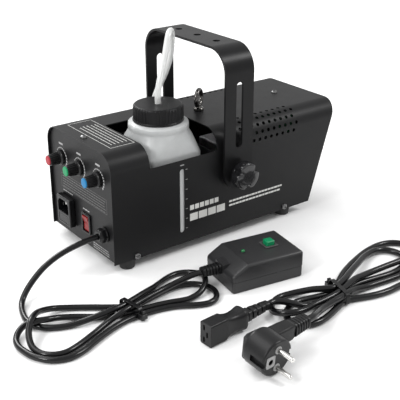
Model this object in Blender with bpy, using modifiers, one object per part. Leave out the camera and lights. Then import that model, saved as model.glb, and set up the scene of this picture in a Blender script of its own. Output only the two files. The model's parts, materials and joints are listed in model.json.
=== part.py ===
"""Small fog machine with a carrying bracket, a lift-out fluid tank, a wired remote and a mains lead.

Lengths are in millimetres and are scaled to metres as the objects are made. +Z is up, the control
panel faces -X and the fog outlet faces +X. The pieces are laid out about the middle of the case, then
moved along Y, so that the origin is on the floor under the middle of the case and its remote together.
"""
import math

import bmesh
import bpy
from mathutils import Matrix, Vector

MM = 0.001
GAP = 0.3
OVER = 5.0
MIDDLE_SHIFT = 47.3

# Case
FOOT_HEIGHT = 12.0
HALF_WIDTH = 70.0
CASE_TOP = 138.0
BEND = 20.5
SHEET = 1.2
HOOD_REAR = -155.5
HOOD_FRONT_TOP = 170.8
HOOD_FRONT_BOTTOM = 132.0
PANEL_X = -152.5
FRONT_X = 124.0
TRAY_HALF = HALF_WIDTH - SHEET - GAP
TRAY_TOP = CASE_TOP - SHEET - GAP
FLOOR_TOP = FOOT_HEIGHT + SHEET
FOOT_PLACES = {"foot_rear_left": (-133.5, -59.5), "foot_rear_right": (-133.5, 59.5),
               "foot_front_left": (99.0, -57.0), "foot_front_right": (99.0, 57.0)}
SIDE_SCREWS = ((-126.6, 15.5), (90.4, 16.0))
TOP_SCREWS = (-146.2, 130.2)
SCREW_HOLE = 1.7
SCREW_PILOT = 1.4

# Openings in the hood
TANK_OPENING = (-107.0, -15.5)
OPENING_FAR_Y = 21.2
OPENING_SIDE_Z = 113.8
WINDOW_X = -64.3
WINDOW_WIDTH = 6.4
WINDOW_Z = (25.5, 103.4)
VENT_X = 21.1
VENT_PITCH = 8.9
VENT_ROWS = 5
VENT_COUNT = 10
VENT_RADIUS = 2.15
VENT_ROW_PITCH = 8.95

# Tank, cap and tube
TANK_X = -64.4
TANK_Y = -25.0
TANK_HALF = 36.3
TANK_BOTTOM = 16.0
TANK_WALL = 1.6
NECK_TOP = 163.0
CAP_TOP = 168.0
CAP_BOTTOM = 149.6
CAP_RADIUS = 28.4
TUBE_RADIUS = 3.5
TUBE_JOIN_Z = 112.0
TUBE_LOOP = ((-64.4, -25, 160), (-64.4, -25, 168), (-64.4, -25, 176), (-62.4, -24.4, 187),
             (-56.6, -22, 202), (-49.6, -18.2, 216), (-43.2, -13.4, 228.5), (-36.8, -8, 238),
             (-30, -2.4, 240), (-25, 2.6, 233), (-22.6, 7, 219), (-23.6, 10.6, 202), (-28.4, 13.6, 186),
             (-35.6, 15.8, 171), (-42.4, 16.5, 156), (-47, 16.5, 141), (-48, 16.5, 126), (-48, 16.5, 112))
TUBE_FOOT_Z = 60.0
FEED_X = -48.0
FEED_Y = 16.5

# Bracket
PIVOT_X = 8.5
PIVOT_Z = 85.0
ARM_OUTER = 79.2
ARM_SHEET = 2.8
ARM_WIDTH = 40.0
BRACKET_TOP = 229.5
BRACKET_BEND = 28.0
ARM_SLOT = (115.4, 191.9)
ARM_SLOT_WIDTH = 9.7
BRACKET_HOLES = (-36.0, 0.0, 36.0)
STUD_RADIUS = 3.0
KNOB_RADIUS = 16.5
CLAMP_HOLE = 4.3
EYE_PLACE = (10.6, 0.0)
EYE_SHANK = 2.8
EYE_RING = 9.9
EYE_WIRE = 2.2
EYE_TURN = math.radians(42)

# Controls on the rear panel, as (y, z) on the panel
KNOBS = {"red": (43.0, 103.0), "green": (2.4, 103.0), "blue": (-38.3, 103.0)}
KNOB_LENGTH = 18.0
INLET_Y = (17.6, 47.8)
INLET_Z = (24.4, 58.6)
INLET_PROUD = 8.0
SWITCH_Y = -7.8
SWITCH_Z = 39.0
GLAND_Y = -48.0
GLAND_Z = 41.0
GLAND_PROUD = 10.5
GLAND_THREAD = 5.6
POT_BUSH = 3.4
POT_SHAFT = 2.9
SWITCH_HALF = (9.5, 12.0)
ROCKER_HALF = (6.4, 9.3)
ROCKER_AXIS_X = PANEL_X + 3.0
ROCKER_REST = math.radians(9)

# Heater, nozzle and lamps
HEATER_X = (28.0, 106.0)
HEATER_HALF = 24.0
HEATER_Z = (47.0, 95.0)
NOZZLE_Z = 71.0
LAMP_Z = 113.0
LAMP_PLACES = {"left": -36.0, "middle": 0.0, "right": 36.0}
PUMP_X = 5.0
PUMP_Y = -26.0
PUMP_Z = 32.5
PUMP_HALF = 34.0
PUMP_BORE = 5.2
LAMP_RADIUS = 9.0
NOZZLE_RADIUS = 5.5
NOZZLE_END = 146.0

# Remote and cords
LEAD_RADIUS = 3.2
REMOTE_CORNER = (-78.5, -179.5)
REMOTE_TURN = math.radians(-9.0)
REMOTE_SIZE = (88.0, 60.0, 31.0)
REMOTE_SPLIT = 13.5
REMOTE_SLOPE = (18.5, 20.0)
REMOTE_BUTTON = (62.0, 31.0)
REMOTE_BLOCK = (9.1, 9.0, 25.4)
RELIEF_Z = 18.5
MAINS_RADIUS = 3.5
HANK_HEIGHT = 13.5
CONNECTOR_FACE = (-158.0, -236.5, 12.6)
CONNECTOR_TURN = math.radians(4.0)
PLUG_FACE = (-136.0, -313.0, 18.8)
PLUG_TILT = math.radians(5)
PLUG_TURN = math.radians(4)
PLUG_ARM_Y = 24.0
PIN_RADIUS = 2.4
PIN_OFFSET = 9.5

LEAD_ROUTE = ((-163.2, -48, 41), (-176, -48, 40.2), (-191, -48.2, 38.3), (-206, -49, 35.6),
              (-220, -50.6, 31.8), (-233, -53, 26.6), (-245, -56, 19.6), (-255.5, -59.6, 12),
              (-263.5, -65, 5.8), (-269, -74, 3.4), (-273.5, -87, 3.2))
LEAD_END_ROUTE = ((-96.2, -146.35, 18.5), (-104, -145.1, 18.1), (-114, -143.6, 17.3), (-124, -142.6, 17),
                  (-134, -142.2, 17), (-144, -142.4, 17))
HANK_OUTLINE = ((-279.3, -85.3), (-267.9, -89.2), (-268.4, -98), (-258, -96.6), (-246, -94), (-229, -99.6),
                (-211, -111), (-196, -121.6), (-184, -130.4), (-172, -131), (-159, -127.4), (-144, -121),
                (-129, -112.8), (-115, -107.6), (-101, -106.4), (-88.6, -111.4), (-82.6, -119.8),
                (-82.2, -131), (-84, -137), (-92, -141), (-92, -153), (-87.2, -157.6), (-88.4, -170),
                (-97, -182.4), (-113, -185.2), (-128, -179.4), (-140, -171.4), (-152, -166.8),
                (-168, -163.4), (-184, -162.6), (-200, -163.4), (-216, -167), (-238, -175.4),
                (-257, -183.2), (-273, -185.4), (-291, -178.4), (-302.8, -161.8), (-306.4, -147),
                (-307.2, -134), (-303.6, -122), (-295.6, -112.4), (-284.6, -108.8), (-280.4, -100))
MAINS_OUTLINE = ((-72.55, -235.57), (-73.25, -225.6), (-69.6, -221.6), (-59.6, -215.2), (-46, -211.2),
                 (-32.6, -213.8), (-21.4, -220), (-10, -229), (2, -234.8), (12, -232.6), (26, -223.8),
                 (40, -215.8), (56.5, -208.4), (75, -201.6), (99.5, -195.2), (122.6, -192.8), (140.8, -196),
                 (152.4, -206), (155.8, -220), (154, -235), (170, -240.2), (181.8, -253.6), (177, -274.2),
                 (160, -282.6), (140, -284.2), (118, -282.8), (96, -281.4), (75, -279.4), (55, -279.8),
                 (37, -277.4), (21, -272.2), (5, -266.6), (-12, -270.4), (-27, -275.4), (-39, -278.4),
                 (-50, -279.2), (-61.6, -275.8), (-71, -265.4), (-72.4, -255), (-75.2, -249.4),
                 (-76.8, -239.4))
PLUG_CORD_ROUTE = ((-73.1, -284.64, 20.9), (-69.1, -284.36, 20.9), (-58, -281, 19.6), (-47, -276, 17.8),
                   (-36, -271.6, 17.3), (-25, -268, 17.3), (-14, -266.4, 17.3))

MATERIALS = {
    "black_coat": ((0.035, 0.035, 0.037), 0.55, 0.0),
    "black_bracket": ((0.03, 0.03, 0.032), 0.5, 0.0),
    "zinc_steel": ((0.6, 0.6, 0.6), 0.35, 1.0),
    "aluminium": ((0.75, 0.75, 0.77), 0.4, 1.0),
    "brass": ((0.75, 0.58, 0.25), 0.35, 1.0),
    "copper": ((0.8, 0.42, 0.26), 0.35, 1.0),
    "pin_nickel": ((0.75, 0.74, 0.71), 0.25, 1.0),
    "foot_rubber": ((0.02, 0.02, 0.02), 0.8, 0.0),
    "tank_plastic": ((0.82, 0.83, 0.82), 0.4, 0.0),
    "cap_plastic": ((0.025, 0.025, 0.027), 0.5, 0.0),
    "seal_foam": ((0.8, 0.8, 0.78), 0.8, 0.0),
    "silicone": ((0.85, 0.86, 0.85), 0.35, 0.0),
    "black_plastic": ((0.02, 0.02, 0.022), 0.4, 0.0),
    "grey_plastic": ((0.3, 0.3, 0.31), 0.5, 0.0),
    "white_plastic": ((0.85, 0.85, 0.83), 0.5, 0.0),
    "lens_clear": ((0.9, 0.92, 0.95), 0.1, 0.0),
    "board_green": ((0.03, 0.2, 0.08), 0.5, 0.0),
    "core_steel": ((0.25, 0.25, 0.27), 0.5, 1.0),
    "switch_red": ((0.55, 0.05, 0.04), 0.25, 0.0),
    "button_green": ((0.01, 0.25, 0.08), 0.35, 0.0),
    "lamp_green": ((0.01, 0.16, 0.05), 0.2, 0.0),
    "cord_pvc": ((0.018, 0.018, 0.02), 0.4, 0.0),
}


def new_collection(name):
    """A collection of the scene, made empty."""
    group = bpy.data.collections.new(name)
    bpy.context.scene.collection.children.link(group)
    return group


for old in list(bpy.data.objects):
    bpy.data.objects.remove(old, do_unlink=True)
PARTS = new_collection("fog_machine")
CUTTERS = new_collection("cutters")
PARENT = bpy.data.objects.new("fog_machine_origin", None)
PARTS.objects.link(PARENT)


def make_material(name):
    """A Principled material from the table above."""
    colour, roughness, metallic = MATERIALS[name]
    material = bpy.data.materials.new(name)
    material.use_nodes = True
    shader = material.node_tree.nodes["Principled BSDF"]
    shader.inputs["Base Color"].default_value = (*colour, 1.0)
    shader.inputs["Roughness"].default_value = roughness
    shader.inputs["Metallic"].default_value = metallic
    return material


def move_to(obj, group):
    """Put an object in one collection only."""
    for owner in list(obj.users_collection):
        owner.objects.unlink(obj)
    group.objects.link(obj)
    return obj


def node(obj, name, material, origin=None):
    """Name a finished piece, give it its own material and, if asked, move its origin (mm)."""
    obj.name = name
    obj.data.name = name
    own = make_material(material)
    own.name = f"{name}_{material}"
    obj.data.materials.clear()
    obj.data.materials.append(own)
    move_to(obj, PARTS)
    obj.parent = PARENT
    if origin is not None:
        inverse = obj.matrix_basis.inverted()
        shift = inverse @ (Vector(origin) * MM)
        obj.data.transform(Matrix.Translation(-shift))
        obj.location = Vector(origin) * MM
    return obj


# Shapes

def box(low, high):
    """A block between two opposite corners."""
    bpy.ops.mesh.primitive_cube_add(size=1.0)
    obj = bpy.context.object
    size = [(b - a) * MM for a, b in zip(low, high)]
    obj.data.transform(Matrix.Diagonal((*size, 1.0)))
    obj.location = [(a + b) / 2 * MM for a, b in zip(low, high)]
    return obj


AXIS_TURN = {"X": (0.0, math.pi / 2, 0.0), "Y": (math.pi / 2, 0.0, 0.0), "Z": (0.0, 0.0, 0.0)}


def rod(start, end, radius, axis="Z", sides=24):
    """A cylinder whose axis runs along X, Y or Z from start, over a length end - start on that axis."""
    index = "XYZ".index(axis)
    centre = list(start)
    centre[index] = (start[index] + end) / 2
    depth = abs(end - start[index])
    bpy.ops.mesh.primitive_cylinder_add(vertices=sides, radius=radius * MM, depth=depth * MM,
                                        location=[c * MM for c in centre], rotation=AXIS_TURN[axis])
    return bpy.context.object


def cone(centre, height, radius_low, radius_high, sides=24):
    """A frustum standing on centre."""
    x, y, z = centre
    bpy.ops.mesh.primitive_cone_add(vertices=sides, radius1=radius_low * MM, radius2=radius_high * MM,
                                    depth=height * MM, location=(x * MM, y * MM, (z + height / 2) * MM))
    return bpy.context.object


def object_from(mesh, name="shape"):
    """An object that holds a mesh."""
    obj = bpy.data.objects.new(name, mesh)
    bpy.context.scene.collection.objects.link(obj)
    return obj


def as_mesh(curve_obj):
    """A welded mesh object made from a curve object."""
    bpy.context.view_layer.update()
    mesh = bpy.data.meshes.new_from_object(curve_obj)
    obj = object_from(mesh)
    obj.matrix_basis = curve_obj.matrix_basis.copy()
    bpy.data.objects.remove(curve_obj, do_unlink=True)
    work = bmesh.new()
    work.from_mesh(mesh)
    bmesh.ops.remove_doubles(work, verts=work.verts, dist=1e-6)
    bmesh.ops.recalc_face_normals(work, faces=work.faces)
    work.to_mesh(mesh)
    work.free()
    return obj


PLANE_TURN = {"XY": (0.0, 0.0, 0.0), "YZ": (math.pi / 2, 0.0, math.pi / 2), "XZ": (math.pi / 2, 0.0, 0.0)}


def plate(outline, plane, low, high):
    """A flat outline in a plane, filled and extruded from low to high along the plane's normal."""
    curve = bpy.data.curves.new("outline", "CURVE")
    curve.dimensions = "2D"
    curve.fill_mode = "BOTH"
    curve.extrude = (high - low) / 2 * MM
    spline = curve.splines.new("POLY")
    spline.points.add(len(outline) - 1)
    for point, (a, b) in zip(spline.points, outline):
        point.co = (a * MM, b * MM, 0.0, 1.0)
    spline.use_cyclic_u = True
    obj = object_from(curve)
    obj.rotation_euler = PLANE_TURN[plane]
    normal = {"XY": (0, 0, 1), "YZ": (1, 0, 0), "XZ": (0, 1, 0)}[plane]
    obj.location = Vector(normal) * ((low + high) / 2 * MM)
    return as_mesh(obj)


def arc(centre, radius, start, end, steps=8):
    """Points on a circular arc, angles in degrees."""
    angles = [math.radians(start + (end - start) * i / steps) for i in range(steps + 1)]
    return [(centre[0] + radius * math.cos(a), centre[1] + radius * math.sin(a)) for a in angles]


def arch(half, bottom, top, bend, sheet):
    """The section of an upside-down U of sheet metal with round bends."""
    left, right = (-half + bend, top - bend), (half - bend, top - bend)
    outer = [(-half, bottom)] + arc(left, bend, 180, 90) + arc(right, bend, 90, 0) + [(half, bottom)]
    inner = bend - sheet
    inside = [(half - sheet, bottom)] + arc(right, inner, 0, 90) + arc(left, inner, 90, 180)
    return outer + inside + [(-half + sheet, bottom)]


def panel_outline(half, bottom, top, bend):
    """An end panel with square feet and round upper corners."""
    upper = arc((half - bend, top - bend), bend, 0, 90) + arc((-half + bend, top - bend), bend, 90, 180)
    return [(-half, bottom), (half, bottom)] + upper


def rounded(low, high, radius, steps=5):
    """A rectangle with round corners."""
    (x0, y0), (x1, y1) = low, high
    corners = (((x1 - radius, y1 - radius), 0), ((x0 + radius, y1 - radius), 90),
               ((x0 + radius, y0 + radius), 180), ((x1 - radius, y0 + radius), 270))
    points = []
    for centre, start in corners:
        points += arc(centre, radius, start, start + 90, steps)
    return points


def turned(profile, centre, axis="Z", steps=28):
    """A solid of revolution from (radius, height) points listed from the top down."""
    mesh = bpy.data.meshes.new("profile")
    points = [(radius * MM, 0.0, height * MM) for radius, height in profile]
    edges = [(i, i + 1) for i in range(len(points) - 1)]
    if profile[0][0] > 0.0:
        edges.append((len(points) - 1, 0))
    mesh.from_pydata(points, edges, [])
    obj = object_from(mesh)
    screw = obj.modifiers.new("turn", "SCREW")
    screw.axis = "Z"
    screw.steps = steps
    screw.render_steps = steps
    screw.use_merge_vertices = True
    screw.merge_threshold = 1e-5
    obj.location = [c * MM for c in centre]
    obj.rotation_euler = {"Z": (0, 0, 0), "-X": (0, -math.pi / 2, 0), "X": (0, math.pi / 2, 0),
                          "Y": (-math.pi / 2, 0, 0), "-Y": (math.pi / 2, 0, 0)}[axis]
    return obj


def smooth(points, spacing=14.0):
    """Points read from a smooth curve through the given points (Catmull-Rom), about a spacing apart."""
    knots = [Vector(place) for place in points]
    knots = [knots[0] * 2 - knots[1], *knots, knots[-1] * 2 - knots[-2]]
    line = []
    for a, b, c, d in zip(knots, knots[1:], knots[2:], knots[3:]):
        steps = max(1, round((c - b).length / spacing))
        for i in range(steps):
            t = i / steps
            place = b * 2 + (c - a) * t + (a * 2 - b * 5 + c * 4 - d) * t ** 2
            line.append((place + (b * 3 - a - c * 3 + d) * t ** 3) / 2)
    return [*line, knots[-2]]


def tube(points, radius, sides=2):
    """A round solid along a list of points."""
    curve = bpy.data.curves.new("route", "CURVE")
    curve.dimensions = "3D"
    curve.bevel_depth = radius * MM
    curve.bevel_resolution = sides
    curve.use_fill_caps = True
    spline = curve.splines.new("POLY")
    spline.points.add(len(points) - 1)
    for point, place in zip(spline.points, points):
        point.co = (*(c * MM for c in place), 1.0)
    return as_mesh(object_from(curve))


def ring_of(half, corner, z, centre, steps=4):
    """Points round a square with round corners, at one height."""
    outline = rounded((-half, -half), (half, half), corner, steps)
    return [Vector((centre[0] + x, centre[1] + y, z)) * MM for x, y in outline]


def lofted(sections, centre):
    """A closed solid through (half width, corner radius, height) sections, capped at both ends."""
    work = bmesh.new()
    rings = []
    for half, corner, z in sections:
        verts = [work.verts.new(place) for place in ring_of(half, corner, z, centre)]
        rings.append(verts)
    count = len(rings[0])
    for low, high in zip(rings, rings[1:]):
        for i in range(count):
            j = (i + 1) % count
            work.faces.new((low[i], low[j], high[j], high[i]))
    work.faces.new(rings[0])
    work.faces.new(rings[-1])
    bmesh.ops.recalc_face_normals(work, faces=work.faces)
    mesh = bpy.data.meshes.new("loft")
    work.to_mesh(mesh)
    work.free()
    return object_from(mesh)


def combine(target, tools, operation):
    """Boolean each tool object into or out of the target."""
    for number, tool in enumerate(tools):
        move_to(tool, CUTTERS)
        tool.hide_render = True
        tool.display_type = "WIRE"
        step = target.modifiers.new(f"{operation.lower()}_{number}", "BOOLEAN")
        step.operation = operation
        step.solver = "EXACT"
        step.object = tool
    return target


def cut(target, *tools):
    """Take the tools out of the target."""
    return combine(target, tools, "DIFFERENCE")


def add(target, *tools):
    """Join the tools to the target."""
    return combine(target, tools, "UNION")


def soften(obj, width, segments=2):
    """Round the edges of a finished solid."""
    bevel = obj.modifiers.new("soft_edges", "BEVEL")
    bevel.width = width * MM
    bevel.segments = segments
    bevel.limit_method = "ANGLE"
    bevel.angle_limit = math.radians(40)
    bevel.harden_normals = False
    return obj


def turn_about(obj, place, spin):
    """Carry a piece built about the origin, and its Boolean tools, to its place with a rotation matrix."""
    step = Matrix.Translation(Vector(place) * MM) @ spin.to_4x4()
    waiting = [obj]
    while waiting:
        piece = waiting.pop()
        piece.matrix_basis = step @ piece.matrix_basis
        waiting += [m.object for m in piece.modifiers if m.type == "BOOLEAN"]
    return obj


# Case

def hood_cover():
    """The folded hood: top and two sides in one sheet, with a raked front edge."""
    section = arch(HALF_WIDTH, FOOT_HEIGHT, CASE_TOP, BEND, SHEET)
    hood = plate(section, "YZ", HOOD_REAR, HOOD_FRONT_TOP + 1)
    rake = math.atan2(HOOD_FRONT_TOP - HOOD_FRONT_BOTTOM, CASE_TOP - FOOT_HEIGHT)
    front = box((0, -90, -100), (60, 90, 100))
    middle = ((HOOD_FRONT_TOP + HOOD_FRONT_BOTTOM) / 2, 0, (CASE_TOP + FOOT_HEIGHT) / 2)
    turn_about(front, middle, Matrix.Rotation(rake, 3, "Y"))
    opening = box((TANK_OPENING[0], -HALF_WIDTH - OVER, OPENING_SIDE_Z),
                  (TANK_OPENING[1], OPENING_FAR_Y, CASE_TOP + OVER))
    half = WINDOW_WIDTH / 2
    slot = rounded((WINDOW_X - half, WINDOW_Z[0]), (WINDOW_X + half, WINDOW_Z[1]), half - 0.01)
    window = plate(slot, "XZ", -HALF_WIDTH - OVER, -HALF_WIDTH + OVER)
    pivot = rod((PIVOT_X, -HALF_WIDTH - OVER, PIVOT_Z), HALF_WIDTH + OVER, STUD_RADIUS + GAP, "Y")
    eye = rod((EYE_PLACE[0], EYE_PLACE[1], CASE_TOP - OVER), CASE_TOP + OVER, EYE_SHANK + GAP)
    cut(hood, front, opening, window, pivot, eye)
    for x, z in SIDE_SCREWS:
        cut(hood, rod((x, -HALF_WIDTH - OVER, z), HALF_WIDTH + OVER, SCREW_HOLE, "Y", 12))
    for x in TOP_SCREWS:
        cut(hood, rod((x, 0, CASE_TOP - OVER), CASE_TOP + OVER, SCREW_HOLE, sides=12))
    cut(hood, vent_holes())
    return node(hood, "hood_cover", "black_coat")


def vent_holes():
    """All vent cutters as one object: staggered rows that follow each upper bend."""
    work = bmesh.new()
    inner_y = HALF_WIDTH - BEND
    bend_z = CASE_TOP - BEND
    for row in range(VENT_ROWS):
        along = row * VENT_ROW_PITCH
        angle = min(along / BEND, math.pi / 2)
        drop = max(along - BEND * math.pi / 2, 0.0)
        y = inner_y + (BEND - SHEET / 2) * math.sin(angle)
        z = bend_z + (BEND - SHEET / 2) * math.cos(angle) - drop
        for side in (-1, 1):
            turn = Matrix.Rotation(-side * angle, 3, "X")
            for hole in range(VENT_COUNT):
                x = VENT_X + VENT_PITCH * (hole + 0.5 * (row % 2))
                place = Matrix.Translation(Vector((x, side * y, z)) * MM) @ turn.to_4x4()
                bmesh.ops.create_cone(work, cap_ends=True, segments=6, radius1=VENT_RADIUS * MM,
                                      radius2=VENT_RADIUS * MM, depth=4 * MM, matrix=place)
    mesh = bpy.data.meshes.new("vents")
    work.to_mesh(mesh)
    work.free()
    return object_from(mesh)


def base_tray():
    """Floor, recessed rear panel and front panel folded from one sheet, with screw flanges."""
    tray = box((PANEL_X, -TRAY_HALF, FOOT_HEIGHT), (FRONT_X, TRAY_HALF, FLOOR_TOP))
    ends = panel_outline(TRAY_HALF, FOOT_HEIGHT, TRAY_TOP, BEND - SHEET - GAP)
    rear = plate(ends, "YZ", PANEL_X, PANEL_X + SHEET)
    front = plate(ends, "YZ", FRONT_X - SHEET, FRONT_X)
    flange_half = HALF_WIDTH - BEND - 2
    rear_lip = box((PANEL_X + 0.1, -flange_half, TRAY_TOP - SHEET), (PANEL_X + 14, flange_half, TRAY_TOP))
    front_lip = box((FRONT_X - 0.1, -flange_half, TRAY_TOP - SHEET), (FRONT_X + 13, flange_half, TRAY_TOP))
    add(tray, rear, front, rear_lip, front_lip)
    for side in (-1, 1):
        edge = sorted((side * TRAY_HALF, side * (TRAY_HALF - SHEET)))
        add(tray, box((PANEL_X + 0.5, edge[0], FOOT_HEIGHT + 0.5),
                      (FRONT_X - 0.5, edge[1], FOOT_HEIGHT + 10)))
    for y, z in KNOBS.values():
        cut(tray, rod((PANEL_X - OVER, y, z), PANEL_X + OVER, POT_BUSH + GAP, "X"))
    cut(tray, box((PANEL_X - OVER, INLET_Y[0] + 1.2, INLET_Z[0] + 1.2),
                  (PANEL_X + OVER, INLET_Y[1] - 1.2, INLET_Z[1] - 1.2)))
    cut(tray, box((PANEL_X - OVER, SWITCH_Y - 8.3, SWITCH_Z - 10.8),
                  (PANEL_X + OVER, SWITCH_Y + 8.3, SWITCH_Z + 10.8)))
    cut(tray, rod((PANEL_X - OVER, GLAND_Y, GLAND_Z), PANEL_X + OVER, GLAND_THREAD + GAP, "X"))
    cut(tray, rod((FRONT_X - OVER, 0, NOZZLE_Z), FRONT_X + OVER, NOZZLE_RADIUS + 2.5, "X"))
    for y in LAMP_PLACES.values():
        cut(tray, rod((FRONT_X - OVER, y, LAMP_Z), FRONT_X + OVER, LAMP_RADIUS + GAP, "X"))
    for x, y in FOOT_PLACES.values():
        cut(tray, rod((x, y, FOOT_HEIGHT - OVER), FOOT_HEIGHT + OVER, 2.0, sides=12))
    for x, z in SIDE_SCREWS:
        cut(tray, rod((x, -HALF_WIDTH - OVER, z), HALF_WIDTH + OVER, SCREW_PILOT, "Y", 12))
    for x in TOP_SCREWS:
        cut(tray, rod((x, 0, CASE_TOP - OVER), CASE_TOP + OVER, SCREW_PILOT, sides=12))
    return node(tray, "base_tray", "black_coat")


def feet():
    """Four tapered rubber feet with a screw recess."""
    for name, (x, y) in FOOT_PLACES.items():
        foot = cone((x, y, 0), FOOT_HEIGHT - GAP, 8.6, 9.6)
        cut(foot, rod((x, y, -1), 7, 4.0, sides=16))
        node(foot, name, "foot_rubber", (x, y, 0))


def eyebolt():
    """A safety eye through the top of the hood, with its nut inside."""
    x, y = EYE_PLACE
    centre_z = CASE_TOP + 3.4 + EYE_RING + EYE_WIRE
    bpy.ops.mesh.primitive_torus_add(major_radius=EYE_RING * MM, minor_radius=EYE_WIRE * MM,
                                     major_segments=28, minor_segments=10,
                                     location=(x * MM, y * MM, centre_z * MM),
                                     rotation=(math.pi / 2, 0, EYE_TURN))
    eye = bpy.context.object
    collar = rod((x, y, CASE_TOP + GAP), CASE_TOP + 4.6, 6.0)
    shank = rod((x, y, CASE_TOP - 12), CASE_TOP + 4, EYE_SHANK, sides=16)
    add(eye, collar, shank)
    node(eye, "eyebolt", "zinc_steel")
    nut_top = CASE_TOP - SHEET - GAP
    nut = rod((x, y, nut_top - 5), nut_top, 5.6, sides=6)
    cut(nut, rod((x, y, nut_top - 8), nut_top + 3, EYE_SHANK + GAP, sides=16))
    node(nut, "eyebolt_nut", "zinc_steel")


# Bracket

def bracket():
    """The U-shaped strap that carries and hangs the machine."""
    half = ARM_WIDTH / 2
    section = arch(ARM_OUTER, PIVOT_Z, BRACKET_TOP, BRACKET_BEND, ARM_SHEET)
    strap = plate(section, "YZ", PIVOT_X - half, PIVOT_X + half)
    for side in (-1, 1):
        low, high = sorted((side * ARM_OUTER, side * (ARM_OUTER - ARM_SHEET)))
        add(strap, rod((PIVOT_X, low, PIVOT_Z), high, half - 0.01, "Y", 40))
    slot_half = ARM_SLOT_WIDTH / 2
    low, high = (PIVOT_X - slot_half, ARM_SLOT[0]), (PIVOT_X + slot_half, ARM_SLOT[1])
    outline = rounded(low, high, slot_half - 0.01)
    cut(strap, plate(outline, "XZ", -ARM_OUTER - OVER, ARM_OUTER + OVER))
    cut(strap, rod((PIVOT_X, -ARM_OUTER - OVER, PIVOT_Z), ARM_OUTER + OVER, STUD_RADIUS + GAP, "Y"))
    for y in BRACKET_HOLES:
        cut(strap, rod((PIVOT_X, y, BRACKET_TOP - 8), BRACKET_TOP + OVER, CLAMP_HOLE))
    return node(strap, "bracket", "black_bracket", (PIVOT_X, 0, PIVOT_Z))


def pivot_hardware():
    """On each side: a lobed clamp knob with its stud, and a washer between the bracket and the case."""
    for side, word in ((-1, "left"), (1, "right")):
        face = side * (ARM_OUTER + GAP)
        stud_end = side * (HALF_WIDTH - 14)
        knob = rod((PIVOT_X, face, PIVOT_Z), face + side * 5, 11.0, "Y", 32)
        grip = rod((PIVOT_X, face + side * 4.9, PIVOT_Z), face + side * 19, KNOB_RADIUS, "Y", 36)
        soften(grip, 2.0)
        stud = rod((PIVOT_X, stud_end, PIVOT_Z), face + side * 2, STUD_RADIUS, "Y", 16)
        add(knob, grip, stud)
        for lobe in range(3):
            angle = math.radians(30 + 120 * lobe)
            x = PIVOT_X + 21 * math.cos(angle)
            z = PIVOT_Z + 21 * math.sin(angle)
            cut(knob, rod((x, face + side * 5.5, z), face + side * 25, 9.5, "Y", 20))
        node(knob, f"pivot_knob_{word}", "black_plastic", (PIVOT_X, face, PIVOT_Z))
        low, high = sorted((side * (HALF_WIDTH + GAP), side * (ARM_OUTER - ARM_SHEET - GAP)))
        washer = rod((PIVOT_X, low, PIVOT_Z), high, 12.0, "Y", 32)
        cut(washer, rod((PIVOT_X, low - 3, PIVOT_Z), high + 3, STUD_RADIUS + GAP, "Y", 16))
        node(washer, f"pivot_washer_{word}", "foot_rubber")
        inner = side * (HALF_WIDTH - SHEET - GAP)
        low, high = sorted((inner, inner - side * 6))
        nut = rod((PIVOT_X, low, PIVOT_Z), high, 6.5, "Y", 6)
        cut(nut, rod((PIVOT_X, low - 3, PIVOT_Z), high + 3, STUD_RADIUS + GAP, "Y", 16))
        node(nut, f"pivot_nut_{word}", "zinc_steel")


# Fluid path

def tank_well():
    """The sheet metal bay that holds the tank: a floor, a far wall and two end walls."""
    x0, x1 = TANK_OPENING[0] + 0.5, TANK_OPENING[1] - 0.5
    y0, y1 = -HALF_WIDTH + SHEET + 1.6, OPENING_FAR_Y + 2.4
    z0, z1 = FLOOR_TOP + GAP, OPENING_SIDE_Z + 10
    well = box((x0, y0, z0), (x1, y1, z0 + SHEET))
    add(well, box((x0, y1 - SHEET, z0 + 0.1), (x1, y1, z1)))
    add(well, box((x0, y0 + 0.1, z0 + 0.1), (x0 + SHEET, y1 - 0.1, z1 - 12)))
    add(well, box((x1 - SHEET, y0 + 0.1, z0 + 0.1), (x1, y1 - 0.1, z1 - 12)))
    cut(well, rod((x1 - 6, FEED_Y, PUMP_Z), x1 + 5, TUBE_RADIUS + 1, "X"))
    return node(well, "tank_well", "black_coat")


def tank():
    """A blown bottle with square body, sloping shoulders, a rolled collar and a wide neck."""
    half, wall = TANK_HALF, TANK_WALL
    outer = [(half - 1.5, 7, TANK_BOTTOM), (half, 9, TANK_BOTTOM + 2), (half, 9, 113), (half - 0.4, 12, 117),
             (34.6, 24, 131), (33.2, 32, 139), (34.2, 33.2, 141.5), (34.2, 33.2, 146), (32.5, 31.5, 148.4),
             (24.6, 23.9, 149), (24.6, 23.9, NECK_TOP)]
    inner = [(22.8, 22.1, NECK_TOP), (22.8, 22.1, 147), (31.6, 30.4, 145), (31.6, 30.4, 140), (33, 23, 130),
             (half - wall - 0.4, 11, 116), (half - wall, 8, 112), (half - wall, 8, TANK_BOTTOM + 3.4),
             (half - wall - 1.5, 6, TANK_BOTTOM + 1.8)]
    bottle = lofted(outer + inner, (TANK_X, TANK_Y))
    return node(bottle, "tank", "tank_plastic", (TANK_X, TANK_Y, TANK_BOTTOM))


def tank_cap():
    """A ribbed screw cap with a central hole for the tube, and the foam disc under it."""
    inside = CAP_TOP - 3.2
    bore = TUBE_RADIUS + GAP
    profile = ((CAP_RADIUS - 1.2, CAP_TOP), (CAP_RADIUS, CAP_TOP - 1.2), (CAP_RADIUS + 0.4, CAP_BOTTOM),
               (26, CAP_BOTTOM), (26, inside), (bore, inside), (bore, CAP_TOP))
    cap = turned(profile, (TANK_X, TANK_Y, 0), steps=40)
    node(cap, "tank_cap", "cap_plastic")
    seal = rod((TANK_X, TANK_Y, NECK_TOP + GAP), inside - GAP, 24.0, sides=32)
    cut(seal, rod((TANK_X, TANK_Y, NECK_TOP - OVER), CAP_TOP, bore, sides=20))
    node(seal, "cap_seal", "seal_foam")


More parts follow.
